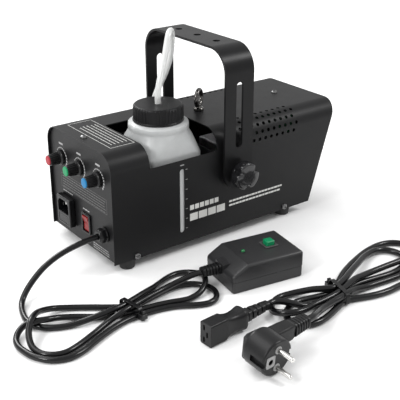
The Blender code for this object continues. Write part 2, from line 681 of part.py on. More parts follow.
def tubes():
    """The silicone tube that loops out of the cap, the tube down the bay, and the pipe into the heater."""
    loop = [(TANK_X, TANK_Y, TUBE_FOOT_Z), *smooth(TUBE_LOOP, 8.0)]
    node(tube(loop, TUBE_RADIUS), "suction_tube", "silicone")
    inlet_y = PUMP_Y + PUMP_HALF + GAP
    down = [(FEED_X, FEED_Y, TUBE_JOIN_Z - GAP), (FEED_X, FEED_Y, 56), (-46, FEED_Y, 44), (-40, FEED_Y, 36),
            (-31, FEED_Y, 33), (-22, FEED_Y, PUMP_Z), (-11, FEED_Y, PUMP_Z), (-5, FEED_Y + 2, PUMP_Z),
            (0, FEED_Y + 2.6, PUMP_Z), (PUMP_X - 1, FEED_Y, PUMP_Z), (PUMP_X, inlet_y + 3, PUMP_Z),
            (PUMP_X, inlet_y, PUMP_Z)]
    node(tube(smooth(down, 7.0), TUBE_RADIUS - 0.5), "feed_tube", "silicone")
    outlet_y = PUMP_Y - PUMP_HALF - GAP
    up = [(PUMP_X, outlet_y, PUMP_Z), (PUMP_X, outlet_y - 2.4, PUMP_Z), (PUMP_X, outlet_y - 4.6, PUMP_Z + 2),
          (PUMP_X, outlet_y - 5.2, PUMP_Z + 7), (PUMP_X, outlet_y - 4.4, 54), (PUMP_X, outlet_y, 63),
          (PUMP_X, outlet_y + 10, 70),
          (PUMP_X + 2, outlet_y + 26, NOZZLE_Z), (PUMP_X + 7, outlet_y + 32, NOZZLE_Z),
          (PUMP_X + 14, outlet_y + 34, NOZZLE_Z), (HEATER_X[0] - GAP, outlet_y + 34, NOZZLE_Z)]
    node(tube(up, 2.0), "heater_pipe", "copper")


def pump():
    """A solenoid pump: a coil block round a barbed body with a sprung plunger inside."""
    body_profile = ((3.0, PUMP_HALF), (3.0, PUMP_HALF - 10), (8.0, PUMP_HALF - 12), (8.0, -PUMP_HALF + 12),
                    (3.0, -PUMP_HALF + 10), (3.0, -PUMP_HALF), (1.4, -PUMP_HALF), (1.4, -PUMP_HALF + 12),
                    (PUMP_BORE, -PUMP_HALF + 13), (PUMP_BORE, PUMP_HALF - 13), (1.4, PUMP_HALF - 12),
                    (1.4, PUMP_HALF))
    centre = (PUMP_X, PUMP_Y, PUMP_Z)
    node(turned(body_profile, centre, "Y", 24), "pump_body", "brass")
    coil = box((PUMP_X - 18, PUMP_Y - 18, FLOOR_TOP + GAP), (PUMP_X + 18, PUMP_Y + 18, PUMP_Z + 18))
    cut(coil, rod((PUMP_X, PUMP_Y - 30, PUMP_Z), PUMP_Y + 30, 8.0 + GAP, "Y"))
    node(coil, "pump_coil", "grey_plastic")
    plunger = rod((PUMP_X, PUMP_Y - 17, PUMP_Z), PUMP_Y + 17, PUMP_BORE - GAP, "Y")
    node(plunger, "pump_plunger", "zinc_steel", centre)


def heater():
    """A cast heater block in a channel bracket, its thermostat and the fog nozzle."""
    low = (HEATER_X[0], -HEATER_HALF, HEATER_Z[0])
    high = (HEATER_X[1], HEATER_HALF, HEATER_Z[1])
    block = soften(box(low, high), 2.0)
    node(block, "heater_block", "aluminium")
    inner = HEATER_HALF + GAP
    outer = inner + 1.5
    base = FLOOR_TOP + GAP
    x0, x1 = HEATER_X[0] + 12, HEATER_X[1] - 12
    channel = box((x0, -outer, base), (x1, outer, base + 1.5))
    add(channel, box((x0, -outer, base + 0.1), (x1, -inner, HEATER_Z[1] - 8)))
    add(channel, box((x0, inner, base + 0.1), (x1, outer, HEATER_Z[1] - 8)))
    node(channel, "heater_bracket", "zinc_steel")
    thermostat = rod((HEATER_X[0] + 30, 0, HEATER_Z[1] + GAP), HEATER_Z[1] + 5, 8.5)
    add(thermostat, box((HEATER_X[0] + 23, -6, HEATER_Z[1] + 4), (HEATER_X[0] + 37, 6, HEATER_Z[1] + 9)))
    node(thermostat, "thermostat", "white_plastic")
    start = HEATER_X[1] + GAP
    length = NOZZLE_END - start
    profile = ((4.0, length), (NOZZLE_RADIUS, length - 4), (NOZZLE_RADIUS, 12), (7.4, 12), (7.4, 0),
               (1.5, 0), (1.5, length))
    node(turned(profile, (start, 0, NOZZLE_Z), "X", 24), "heater_nozzle", "brass")


def electronics():
    """The power board on its stand-offs, its transformer, and the lamp board with three lenses."""
    y0, y1 = 28.0, 66.0
    board = box((-100, y0, 20), (-18, y1, 21.6))
    for x in (-96, -22):
        for y in (y0 + 4, y1 - 4):
            add(board, rod((x, y, FLOOR_TOP + GAP), 20.5, 2.5, sides=12))
    node(board, "power_board", "board_green")
    core = soften(box((-72, 32, 21.9), (-36, 60, 52)), 1.5, 1)
    node(core, "transformer", "core_steel")
    lamp_back = FRONT_X - SHEET - 5
    node(box((lamp_back, -50, LAMP_Z - 13), (lamp_back + 1.6, 50, LAMP_Z + 13)), "lamp_board", "board_green")
    for word, y in LAMP_PLACES.items():
        start = lamp_back + 1.6 + GAP
        length = FRONT_X + 2.5 - start
        profile = ((0, length), (5, length - 0.6), (LAMP_RADIUS - 1, length - 2), (LAMP_RADIUS, length - 3),
                   (LAMP_RADIUS, 0), (0, 0))
        node(turned(profile, (start, y, LAMP_Z), "X", 28), f"lamp_lens_{word}", "lens_clear")


# Control panel

def dimmers():
    """Three potentiometers behind the panel, each with its knob in front."""
    inside = PANEL_X + SHEET + GAP
    for colour, (y, z) in KNOBS.items():
        pot = rod((inside, y, z), inside + 9, 8.0, "X")
        add(pot, rod((PANEL_X - 2.4, y, z), inside + 1, POT_BUSH, "X", 20))
        add(pot, rod((PANEL_X - 13, y, z), inside + 1, POT_SHAFT, "X", 20))
        node(pot, f"dimmer_{colour}", "zinc_steel")
        foot = PANEL_X - GAP
        length = KNOB_LENGTH
        profile = ((0, length), (5.0, length), (5.7, length - 1.2), (6.9, 4.2), (8.8, 3.4), (8.8, 0),
                   (4.4, 0), (4.4, 3.0), (POT_SHAFT + GAP, 3.6), (POT_SHAFT + GAP, 13.6), (0, 13.6))
        knob = turned(profile, (foot, y, z), "-X", 28)
        node(knob, f"knob_{colour}", "black_plastic")


def inlet():
    """The mains inlet with its socket well, and the fuse drawer under it."""
    (y0, y1), (z0, z1) = INLET_Y, INLET_Z
    middle = (y0 + y1) / 2
    front = PANEL_X - INLET_PROUD
    body = soften(box((front, y0, z0), (PANEL_X - GAP, y1, z1)), 1.2)
    add(body, box((PANEL_X - 2, y0 + 1.5, z0 + 1.5), (PANEL_X + 18, y1 - 1.5, z1 - 1.5)))
    well = [(middle - 12, z1 - 19.4), (middle + 12, z1 - 19.4), (middle + 12, z1 - 8),
            (middle + 7.4, z1 - 3.4), (middle - 7.4, z1 - 3.4), (middle - 12, z1 - 8)]
    cut(body, plate(well, "YZ", front - OVER, front + 15.5))
    cut(body, box((front - OVER, middle - 11, z0 + 2.4), (front + 19, middle + 11, z0 + 12.4)))
    node(body, "inlet_socket", "black_plastic")
    drawer = box((front + 0.2, middle - 11 + GAP, z0 + 2.4 + GAP),
                 (front + 17, middle + 11 - GAP, z0 + 12.4 - GAP))
    cut(drawer, box((front + 4, middle - 8, z0 + 4.6), (front + 15, middle + 8, z0 + 14)))
    node(drawer, "fuse_drawer", "black_plastic", (front + 0.2, middle, z0 + 7.4))


def switch():
    """The mains switch: a framed body with a rocker that tips about a cross pin."""
    half_y, half_z = SWITCH_HALF
    frame = soften(box((PANEL_X - 2.2, SWITCH_Y - half_y, SWITCH_Z - half_z),
                       (PANEL_X - GAP, SWITCH_Y + half_y, SWITCH_Z + half_z)), 0.6, 1)
    add(frame, box((PANEL_X - 1, SWITCH_Y - 8, SWITCH_Z - 10.5),
                   (PANEL_X + 16, SWITCH_Y + 8, SWITCH_Z + 10.5)))
    ry, rz = ROCKER_HALF
    cut(frame, box((PANEL_X - OVER, SWITCH_Y - ry - GAP, SWITCH_Z - rz - 0.9),
                   (PANEL_X + 11, SWITCH_Y + ry + GAP, SWITCH_Z + rz + 0.9)))
    node(frame, "switch_frame", "black_plastic")
    profile = [(-rz, 3.4), (-rz, -4.6), (-rz + 2, -5.0), (0, -3.6), (rz - 2, -5.0), (rz, -4.6), (rz, 3.4),
               (3, 5.4), (-3, 5.4)]
    outline = [(depth, height) for height, depth in profile]
    rocker = plate(outline, "XZ", -ry, ry)
    spin = Matrix.Rotation(-ROCKER_REST, 3, "Y")
    turn_about(rocker, (ROCKER_AXIS_X, SWITCH_Y, SWITCH_Z), spin)
    node(rocker, "switch_rocker", "switch_red", (ROCKER_AXIS_X, SWITCH_Y, SWITCH_Z))


def gland():
    """The cord gland of the remote lead, a domed nut on a threaded sleeve."""
    foot = PANEL_X - GAP
    bore = LEAD_RADIUS + GAP
    head = GLAND_PROUD - GAP
    profile = ((6.2, head), (8.0, head - 2.2), (8.8, 4.0), (8.8, 0), (GLAND_THREAD, 0), (GLAND_THREAD, -8),
               (bore, -8), (bore, head))
    node(turned(profile, (foot, GLAND_Y, GLAND_Z), "-X", 24), "cable_gland", "black_plastic")


# Remote

def remote_space(obj):
    """Carry a piece from the remote's own axes to its place on the floor."""
    return turn_about(obj, (*REMOTE_CORNER, 0), Matrix.Rotation(REMOTE_TURN, 3, "Z"))


def remote():
    """The wired remote: two shells, a push button, a lamp and a strain relief."""
    length, width, height = REMOTE_SIZE
    run, low = REMOTE_SLOPE
    split = REMOTE_SPLIT
    wall = 2.2
    edge = 2.8
    base = plate(rounded((0.2, 0.2), (length - 0.2, width - 0.2), edge), "XY", 0.2, split - GAP)
    cut(base, plate(rounded((3, 3), (length - 3, width - 3), 2), "XY", wall, split + OVER))
    node(remote_space(base), "remote_base", "black_plastic")
    side = [(0, split - OVER), (length, split - OVER), (length, height), (run, height), (0, low)]
    cover = soften(plate(side, "XZ", 0, width), edge, 3)
    cover.modifiers.new("flat_faces", "TRIANGULATE")
    cut(cover, box((-OVER, -OVER, split - 2 * OVER), (length + OVER, width + OVER, split)))
    under = split - 2 * OVER
    inside = [(wall, under), (length - wall, under), (length - wall, height - wall),
              (run + 1, height - wall), (wall, low - 1)]
    cut(cover, plate(inside, "XZ", wall, width - wall))
    bx, by = REMOTE_BUTTON
    cut(cover, box((bx - 5.3, by - 5.3, height - 6), (bx + 5.3, by + 5.3, height + OVER)))
    cut(cover, rod((run + 10, by - 2, height - 6), height + OVER, 2.4, sides=16))
    block_end, block_half, block_top = REMOTE_BLOCK
    block = [(0.3, low - 5), (0.3, block_top), (block_end, block_top), (wall - 0.1, low + 0.2)]
    add(cover, plate(block, "XZ", width / 2 - block_half, width / 2 + block_half))
    cut(cover, rod((-OVER, width / 2, RELIEF_Z), OVER, 4.2, "X"))
    node(remote_space(cover), "remote_cover", "black_plastic")
    button = soften(box((bx - 5, by - 5, height - 5), (bx + 5, by + 5, height + 6)), 0.8, 1)
    place = Matrix.Rotation(REMOTE_TURN, 3, "Z") @ Vector((bx, by, height)) + Vector((*REMOTE_CORNER, 0))
    node(remote_space(button), "remote_button", "button_green", place)
    lamp = rod((run + 10, by - 2, height - 4), height + 1.4, 2.1, sides=16)
    node(remote_space(lamp), "remote_lamp", "lamp_green")
    relief = turned(((3.6, 22), (4.6, 18), (6.0, 8), (6.4, 0.3), (3.9, 0.3), (3.9, -4), (1.5, -4), (1.5, 22)),
                    (0, width / 2, RELIEF_Z), "-X", 20)
    node(remote_space(relief), "remote_strain_relief", "cord_pvc")


# Cords

def blob(outline, height):
    """The closed outer shape of a tied hank."""
    return soften(plate(outline, "XY", 0.2, height), 3.0, 1)


def remote_lead():
    """The remote's lead: out of the gland down to the hank, and up to the remote."""
    node(tube(smooth(LEAD_ROUTE), LEAD_RADIUS), "remote_lead", "cord_pvc")
    node(tube(smooth(LEAD_END_ROUTE), LEAD_RADIUS), "remote_lead_end", "cord_pvc")
    node(blob(HANK_OUTLINE, HANK_HEIGHT), "remote_hank", "cord_pvc")


def mains_lead():
    """The mains lead, unplugged: connector, hank, cord to the plug, and the angled plug."""
    spin = Matrix.Rotation(CONNECTOR_TURN, 3, "Z")
    front = plate(rounded((-8, -12), (8, 12), 1.5), "YZ", 0, 22)
    well = [plate(rounded((-0.9 + shift, z - 2.6), (0.9 + shift, z + 2.6), 0.5), "YZ", -5, 15)
            for shift, z in ((-2, -7), (2, 0), (-2, 7))]
    grip = cone((0, 0, 0), 30, 9.5, 7.6, 20)
    grip.data.transform(Matrix.Rotation(math.pi / 2, 4, "Y"))
    grip.location = (36.5 * MM, 0, 0)
    tail = turned(((3.9, 34), (4.6, 30), (6.6, 0), (0.9, 0), (0.9, 34)), (51, 0, 0), "X", 20)
    add(front, grip, tail)
    cut(front, *well)
    node(turn_about(front, CONNECTOR_FACE, spin), "lead_connector", "cord_pvc")
    node(blob(MAINS_OUTLINE, HANK_HEIGHT), "lead_hank", "cord_pvc")
    node(tube(smooth(PLUG_CORD_ROUTE), MAINS_RADIUS), "mains_lead_end", "cord_pvc")
    tilt = Matrix.Rotation(PLUG_TURN, 3, "Z") @ Matrix.Rotation(PLUG_TILT, 3, "X")
    disc = rod((0, 0, 0), 27, 18.6, "Y", 32)
    arm = box((4, PLUG_ARM_Y - 8, -9), (42, PLUG_ARM_Y + 8, 9))
    nose = turned(((4.2, 22.6), (5.4, 21), (7.6, 0), (0.9, 0), (0.9, 22.6)), (41.8, PLUG_ARM_Y, 0), "X", 20)
    add(disc, soften(arm, 3.0), nose)
    holes = [rod((0, -1, z), 12, PIN_RADIUS + GAP, "Y", 16) for z in (-PIN_OFFSET, PIN_OFFSET)]
    cut(disc, *holes)
    node(turn_about(disc, PLUG_FACE, tilt), "plug_body", "cord_pvc")
    for word, z in (("upper", PIN_OFFSET), ("lower", -PIN_OFFSET)):
        pin = rod((0, -19, z), 11, PIN_RADIUS, "Y", 16)
        node(turn_about(pin, PLUG_FACE, tilt), f"plug_pin_{word}", "pin_nickel")


base_tray()
hood_cover()
feet()
eyebolt()
bracket()
pivot_hardware()
tank_well()
tank()
tank_cap()
tubes()
pump()
heater()
electronics()
dimmers()
inlet()
switch()
gland()
remote()
remote_lead()
mains_lead()

for piece in [*PARTS.objects, *CUTTERS.objects]:
    if piece is not PARENT:
        piece.location.y += MIDDLE_SHIFT * MM
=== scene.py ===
import json
import math

import bmesh
import bpy
from mathutils import Matrix, Vector


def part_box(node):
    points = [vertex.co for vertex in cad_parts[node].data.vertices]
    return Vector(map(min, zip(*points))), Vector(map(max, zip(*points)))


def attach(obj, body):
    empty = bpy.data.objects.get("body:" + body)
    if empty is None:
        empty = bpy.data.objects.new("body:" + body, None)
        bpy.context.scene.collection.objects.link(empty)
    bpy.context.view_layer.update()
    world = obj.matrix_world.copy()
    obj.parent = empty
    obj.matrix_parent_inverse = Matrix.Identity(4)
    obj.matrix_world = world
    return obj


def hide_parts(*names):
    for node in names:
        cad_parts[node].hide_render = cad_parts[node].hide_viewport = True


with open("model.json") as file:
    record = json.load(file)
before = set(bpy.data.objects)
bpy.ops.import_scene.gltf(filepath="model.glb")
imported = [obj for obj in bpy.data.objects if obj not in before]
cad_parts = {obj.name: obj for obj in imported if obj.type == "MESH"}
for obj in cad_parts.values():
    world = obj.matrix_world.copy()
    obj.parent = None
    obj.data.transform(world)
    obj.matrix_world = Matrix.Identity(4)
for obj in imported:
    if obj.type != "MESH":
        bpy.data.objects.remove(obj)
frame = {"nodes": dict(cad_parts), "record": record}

# Lengths below are millimetres about the middle of the case, moved by SHIFT into the row frame.
MM = 0.001
SHIFT = Vector((0.0, 47.3, 0.0))
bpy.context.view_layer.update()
NODES = frame["nodes"]
SLOTS = {part["node"]: part["material_slot"] for part in frame["record"]["subparts"]}
scene = bpy.context.scene
CASE = "case"

# The object's main measures, fitted to the photo.
HALF_WIDTH = 70.0                       # of the hood
HOOD_TOP, HOOD_FOOT = 138.0, 12.0
HOOD_REAR, HOOD_FRONT = -155.5, 171.8
HOOD_BEND, HOOD_SHEET = 20.5, 1.2
LIP_X, CHIN_X = 170.8, 132.0            # the raked front at the hood's top and foot
PANEL_X, KNOB_X = -152.5, -152.8        # the rear panel's face, and where its fittings seat
PIVOT_X, PIVOT_Z = 8.5, 85.0            # the bracket's pivots
STRAP_HALF, STRAP_TOP = 79.2, 229.5
STRAP_BEND, STRAP_SHEET, STRAP_WIDTH = 28.0, 2.8, 40.0
SIDE_SCREWS = ((-126.6, 15.5), (90.4, 16.0))
TOP_SCREWS = (-146.2, 130.2)
EYE_X, EYE_RISE = 10.6, 15.5            # the safety eye, and its middle's height over the hood
SIGHT_X = -64.3                         # the sight slot beside the tank
TANK_AXIS = (-64.4, -25)
DIALS = {"red": (43.0, 103.0), "green": (2.4, 103.0), "blue": (-38.3, 103.0)}
PIN_REACH = 9.5                         # half the distance between the plug's pins
FOLD_ANGLE = 24.0                       # edges below this many degrees are shaded smooth on folded sheet


def at(x, y, z):
    """A point in the row frame, in metres."""
    return (Vector((x, y, z)) + SHIFT) * MM


# Finishes

def noise(tree, source, scale, detail):
    """A noise texture read at the given coordinates."""
    texture = tree.nodes.new("ShaderNodeTexNoise")
    texture.inputs["Scale"].default_value = scale
    texture.inputs["Detail"].default_value = detail
    tree.links.new(source, texture.inputs["Vector"])
    return texture.outputs["Fac"]


def finish(colour, rough, metallic=0.0, vary=0.12, grain=900.0, bump=0.02, bump_grain=2500.0, spec=0.5,
           coat=0.0, through=0.0, under=0.0, streak=None, worn=0.04, name="finish"):
    """A procedural finish: cloudy colour, uneven gloss and a fine surface grain."""
    material = bpy.data.materials.new(name)
    material.use_nodes = True
    tree = material.node_tree
    shader = tree.nodes["Principled BSDF"]
    link = tree.links.new
    source = tree.nodes.new("ShaderNodeTexCoord").outputs["Object"]
    if streak:
        mapping = tree.nodes.new("ShaderNodeMapping")
        mapping.inputs["Scale"].default_value = streak
        link(source, mapping.inputs["Vector"])
        source = mapping.outputs["Vector"]
    ramp = tree.nodes.new("ShaderNodeValToRGB")
    dark, light = ramp.color_ramp.elements
    dark.position, light.position = 0.3, 0.7
    dark.color = (*(c * (1 - vary) for c in colour), 1.0)
    light.color = (*(min(1.0, c * (1 + vary)) for c in colour), 1.0)
    link(noise(tree, source, grain, 4.0), ramp.inputs["Fac"])
    link(ramp.outputs["Color"], shader.inputs["Base Color"])
    gloss = tree.nodes.new("ShaderNodeMapRange")
    gloss.inputs["To Min"].default_value = max(0.02, rough - worn)
    gloss.inputs["To Max"].default_value = min(1.0, rough + worn)
    link(noise(tree, source, 60.0, 3.0), gloss.inputs["Value"])
    link(gloss.outputs["Result"], shader.inputs["Roughness"])
    if bump:
        relief = tree.nodes.new("ShaderNodeBump")
        relief.inputs["Strength"].default_value = min(1.0, bump * 10)
        relief.inputs["Distance"].default_value = 0.0001
        link(noise(tree, source, bump_grain, 2.0), relief.inputs["Height"])
        link(relief.outputs["Normal"], shader.inputs["Normal"])
    shader.inputs["Metallic"].default_value = metallic
    shader.inputs["Specular IOR Level"].default_value = spec
    shader.inputs["Coat Weight"].default_value = coat
    shader.inputs["Transmission Weight"].default_value = through
    shader.inputs["Subsurface Weight"].default_value = under
    shader.inputs["Subsurface Radius"].default_value = (0.004, 0.004, 0.004)
    return material


FINISH = {
    "black_coat": dict(colour=(0.007, 0.007, 0.0075), rough=0.42, vary=0.3, grain=1800, bump=0.05,
                       bump_grain=2200, spec=0.2),
    "black_bracket": dict(colour=(0.007, 0.007, 0.0075), rough=0.34, vary=0.2, grain=1500, bump=0.03,
                          bump_grain=2600, spec=0.16),
    "zinc_steel": dict(colour=(0.42, 0.41, 0.39), rough=0.3, metallic=1.0, vary=0.12, grain=300, bump=0.01),
    "aluminium": dict(colour=(0.62, 0.62, 0.64), rough=0.45, metallic=1.0, vary=0.1, grain=400, bump=0.05),
    "brass": dict(colour=(0.7, 0.5, 0.2), rough=0.3, metallic=1.0, vary=0.1, grain=400, bump=0.01),
    "copper": dict(colour=(0.75, 0.36, 0.2), rough=0.35, metallic=1.0, vary=0.15, grain=300, bump=0.01),
    "pin_nickel": dict(colour=(0.72, 0.71, 0.69), rough=0.18, metallic=1.0, vary=0.06, grain=500,
                       bump=0.004),
    "foot_rubber": dict(colour=(0.015, 0.015, 0.015), rough=0.7, vary=0.25, grain=1200, bump=0.05),
    "tank_plastic": dict(colour=(0.44, 0.45, 0.45), rough=0.36, vary=0.04, grain=120, bump=0.01,
                         under=0.35),
    "cap_plastic": dict(colour=(0.004, 0.004, 0.0045), rough=0.38, vary=0.2, grain=1500, bump=0.02,
                        spec=0.2),
    "seal_foam": dict(colour=(0.75, 0.75, 0.72), rough=0.9, vary=0.1, grain=2000, bump=0.1),
    "silicone": dict(colour=(0.8, 0.81, 0.8), rough=0.22, vary=0.03, grain=200, bump=0.004,
                     through=0.35, under=0.2),
    "black_plastic": dict(colour=(0.005, 0.005, 0.0055), rough=0.28, vary=0.2, grain=1600, bump=0.02,
                          spec=0.3),
    "grey_plastic": dict(colour=(0.25, 0.25, 0.26), rough=0.5, vary=0.08, grain=1200, bump=0.02),
    "white_plastic": dict(colour=(0.75, 0.75, 0.73), rough=0.5, vary=0.05, grain=900, bump=0.02),
    "lens_clear": dict(colour=(0.85, 0.88, 0.92), rough=0.06, vary=0.02, grain=200, bump=0.0, through=0.75),
    "board_green": dict(colour=(0.02, 0.16, 0.06), rough=0.35, vary=0.3, grain=700, bump=0.03),
    "core_steel": dict(colour=(0.16, 0.16, 0.17), rough=0.45, metallic=0.8, vary=0.3, grain=900, bump=0.05,
                       streak=(1, 1, 8)),
    "switch_red": dict(colour=(0.2, 0.012, 0.012), rough=0.3, vary=0.1, grain=500, bump=0.0, spec=0.3),
    "button_green": dict(colour=(0.0, 0.2, 0.075), rough=0.3, vary=0.1, grain=900, bump=0.01),
    "lamp_green": dict(colour=(0.006, 0.14, 0.04), rough=0.12, vary=0.1, grain=500, bump=0.0, coat=0.5),
    "cord_pvc": dict(colour=(0.004, 0.004, 0.0045), rough=0.22, vary=0.25, grain=700, bump=0.012,
                     bump_grain=1500, spec=0.34),
    "moulded_pvc": dict(colour=(0.009, 0.009, 0.0095), rough=0.34, vary=0.25, grain=1200, bump=0.04,
                        bump_grain=1800, spec=0.26),
    "remote_abs": dict(colour=(0.02, 0.02, 0.021), rough=0.34, vary=0.2, grain=1800, bump=0.04,
                       bump_grain=2400, spec=0.42),
    "print_grey": dict(colour=(0.32, 0.32, 0.32), rough=0.6, vary=0.12, grain=2500, bump=0.0),
    "print_dim": dict(colour=(0.13, 0.13, 0.13), rough=0.6, vary=0.12, grain=2500, bump=0.0),
    "print_white": dict(colour=(0.62, 0.62, 0.6), rough=0.6, vary=0.12, grain=2500, bump=0.0),
    "frame_grey": dict(colour=(0.05, 0.05, 0.05), rough=0.45, vary=0.15, grain=1500, bump=0.02),
    "earth_grey": dict(colour=(0.3, 0.3, 0.3), rough=0.4, vary=0.12, grain=1500, bump=0.02),
    "sight_strip": dict(colour=(0.5, 0.51, 0.51), rough=0.3, vary=0.12, grain=60, bump=0.0,
                        streak=(1, 1, 0.25)),
    "cap_red": dict(colour=(0.34, 0.022, 0.035), rough=0.42, vary=0.06, grain=900, bump=0.01, spec=0.25),
    "cap_green": dict(colour=(0.006, 0.24, 0.09), rough=0.42, vary=0.06, grain=900, bump=0.01, spec=0.25),
    "cap_blue": dict(colour=(0.006, 0.16, 0.36), rough=0.42, vary=0.06, grain=900, bump=0.01, spec=0.25),
    "dark_steel": dict(colour=(0.2, 0.2, 0.2), rough=0.26, metallic=1.0, vary=0.2, grain=900, bump=0.01),
    "eye_nickel": dict(colour=(0.13, 0.125, 0.12), rough=0.2, metallic=1.0, vary=0.15, grain=300,
                       bump=0.006),
    "gloss_knob": dict(colour=(0.01, 0.01, 0.011), rough=0.16, vary=0.2, grain=900, bump=0.004, coat=0.3),
    "pit_black": dict(colour=(0.003, 0.003, 0.003), rough=0.8, vary=0.1, grain=900, bump=0.0, spec=0.1),
}
M = {name: finish(name=name, **values) for name, values in FINISH.items()}
for name, obj in NODES.items():
    for cell in obj.material_slots:
        cell.link = "OBJECT"
        cell.material = M[SLOTS[name]]


# Mesh helpers

def facing(direction):
    """A turn that carries +Z to a direction and +Y as near upright as it goes."""
    if tuple(direction) == (0, 0, 1):
        return Matrix.Identity(4)
    return Vector(direction).to_track_quat("Z", "Y").to_matrix().to_4x4()


TO_REAR = facing((-1, 0, 0))


def circle(radius, steps=32, x=0.0, y=0.0):
    return [(x + radius * math.cos(math.tau * i / steps), y + radius * math.sin(math.tau * i / steps))
            for i in range(steps)]


def spread(reaches):
    """An outline from its distances to the middle, at even angles."""
    steps = len(reaches)
    return [(reach * math.cos(math.tau * i / steps), reach * math.sin(math.tau * i / steps))
            for i, reach in enumerate(reaches)]


def round_rect(half_x, half_y, corner, steps=5, x=0.0, y=0.0):
    """A rectangle outline with round corners."""
    points = []
    for cx, cy, start in ((1, 1, 0), (-1, 1, 90), (-1, -1, 180), (1, -1, 270)):
        for i in range(steps + 1):
            angle = math.radians(start + 90 * i / steps)
            points.append((x + cx * (half_x - corner) + corner * math.cos(angle),
                           y + cy * (half_y - corner) + corner * math.sin(angle)))
    return points


def loft(sections, cap=True):
    """A skin through outlines; each section is an outline and its height."""
    work = bmesh.new()
    rings = [[work.verts.new((x, y, z)) for x, y in outline] for outline, z in sections]
    for low, high in zip(rings, rings[1:]):
        for i in range(len(low)):
            j = (i + 1) % len(low)
            work.faces.new((low[i], low[j], high[j], high[i]))
    if cap:
        work.faces.new(rings[0])
        work.faces.new(rings[-1])
    return work


def lathe(profile, steps=40):
    """A turned shape about +Z from (radius, height) pairs."""
    return loft([(circle(radius, steps), z) for radius, z in profile])


def prism(outline, low, high):
    return loft([(outline, low), (outline, high)])


def block(low, high):
    (x0, y0, z0), (x1, y1, z1) = low, high
    return prism([(x0, y0), (x1, y0), (x1, y1), (x0, y1)], z0, z1)


def band(outer, inner, low, high):
    """A closed ring between two outlines of equal count."""
    work = bmesh.new()
    loops = [[work.verts.new((x, y, z)) for x, y in outline]
             for outline, z in ((outer, low), (outer, high), (inner, high), (inner, low))]
    for a, b in zip(loops, loops[1:] + loops[:1]):
        for i in range(len(a)):
            j = (i + 1) % len(a)
            work.faces.new((a[i], a[j], b[j], b[i]))
    return work


def torus(major, minor, around=48, across=16):
    """A ring about +Z."""
    work = bmesh.new()
    rings = []
    for i in range(around):
        turn = Matrix.Rotation(math.tau * i / around, 4, "Z")
        rings.append([work.verts.new(turn @ Vector((major + minor * math.cos(math.tau * j / across), 0,
                                                    minor * math.sin(math.tau * j / across))))
                      for j in range(across)])
    for a, b in zip(rings, rings[1:] + rings[:1]):
        for j in range(across):
            k = (j + 1) % across
            work.faces.new((a[j], b[j], b[k], a[k]))
    return work


def moved(work, place=(0, 0, 0), turn=None):
    matrix = Matrix.Translation(Vector(place))
    if turn is not None:
        matrix = matrix @ turn
    bmesh.ops.transform(work, matrix=matrix, verts=work.verts)
    return work


def turned(work, turn):
    return moved(work, (0, 0, 0), turn)


def joined(*works):
    """Several shapes in one mesh."""
    whole = bmesh.new()
    for work in works:
        mesh = bpy.data.meshes.new("part")
        work.to_mesh(mesh)
        work.free()
        whole.from_mesh(mesh)
        bpy.data.meshes.remove(mesh)
    return whole


def as_object(work, name, material, place=(0, 0, 0), turn=None, angle=35.0):
    """Write a shape in millimetres into a smooth-shaded object in the row frame."""
    moved(work, Vector(place) + SHIFT, turn)
    bmesh.ops.transform(work, matrix=Matrix.Scale(MM, 4), verts=work.verts)
    bmesh.ops.recalc_face_normals(work, faces=work.faces)
    mesh = bpy.data.meshes.new(name)
    work.to_mesh(mesh)
    work.free()
    mesh.materials.append(material)
    mesh.shade_smooth()
    mesh.set_sharp_from_angle(angle=math.radians(angle))
    obj = bpy.data.objects.new(name, mesh)
    scene.collection.objects.link(obj)
    return obj


def carved(obj, *cutters, how="DIFFERENCE", angle=35.0):
    """Cut shapes away, or join them on, for good."""
    for cutter in cutters:
        cut = obj.modifiers.new("cut", "BOOLEAN")
        cut.operation = how
        cut.solver = "EXACT"
        cut.object = cutter
    bpy.context.view_layer.update()
    mesh = bpy.data.meshes.new_from_object(obj.evaluated_get(bpy.context.evaluated_depsgraph_get()))
    obj.modifiers.clear()
    obj.data = mesh
    mesh.set_sharp_from_angle(angle=math.radians(angle))
    for cutter in cutters:
        bpy.data.objects.remove(cutter, do_unlink=True)
    return obj


def rounded_edges(obj, width, segments=2):
    bevel = obj.modifiers.new("soft", "BEVEL")
    bevel.width = width * MM
    bevel.segments = segments
    bevel.limit_method = "ANGLE"
    bevel.angle_limit = math.radians(38)
    bevel.harden_normals = True
    return obj


def settle(obj, body, nodes=(), edge=0.0):
    """Let a finished piece ride on its body and stand for its CAD nodes."""
    if edge:
        rounded_edges(obj, edge)
    if obj.type == "MESH":
        weigh = obj.modifiers.new("flat_shading", "WEIGHTED_NORMAL")
        weigh.keep_sharp = True
    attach(obj, body)
    if nodes:
        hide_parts(*nodes)
    return obj


def skin(node, finish_name, body, edge=0.35, angle=FOLD_ANGLE):
    """A smooth-shaded, softened version of a CAD node's own shape."""
    work = bmesh.new()
    work.from_mesh(NODES[node].data)
    bmesh.ops.remove_doubles(work, verts=work.verts, dist=1e-6)
    mesh = bpy.data.meshes.new(node + "_skin")
    work.to_mesh(mesh)
    work.free()
    mesh.materials.clear()
    mesh.materials.append(M[finish_name])
    mesh.shade_smooth()
    mesh.set_sharp_from_angle(angle=math.radians(angle))
    obj = bpy.data.objects.new(node + "_skin", mesh)
    scene.collection.objects.link(obj)
    return settle(obj, body, (node,), edge)


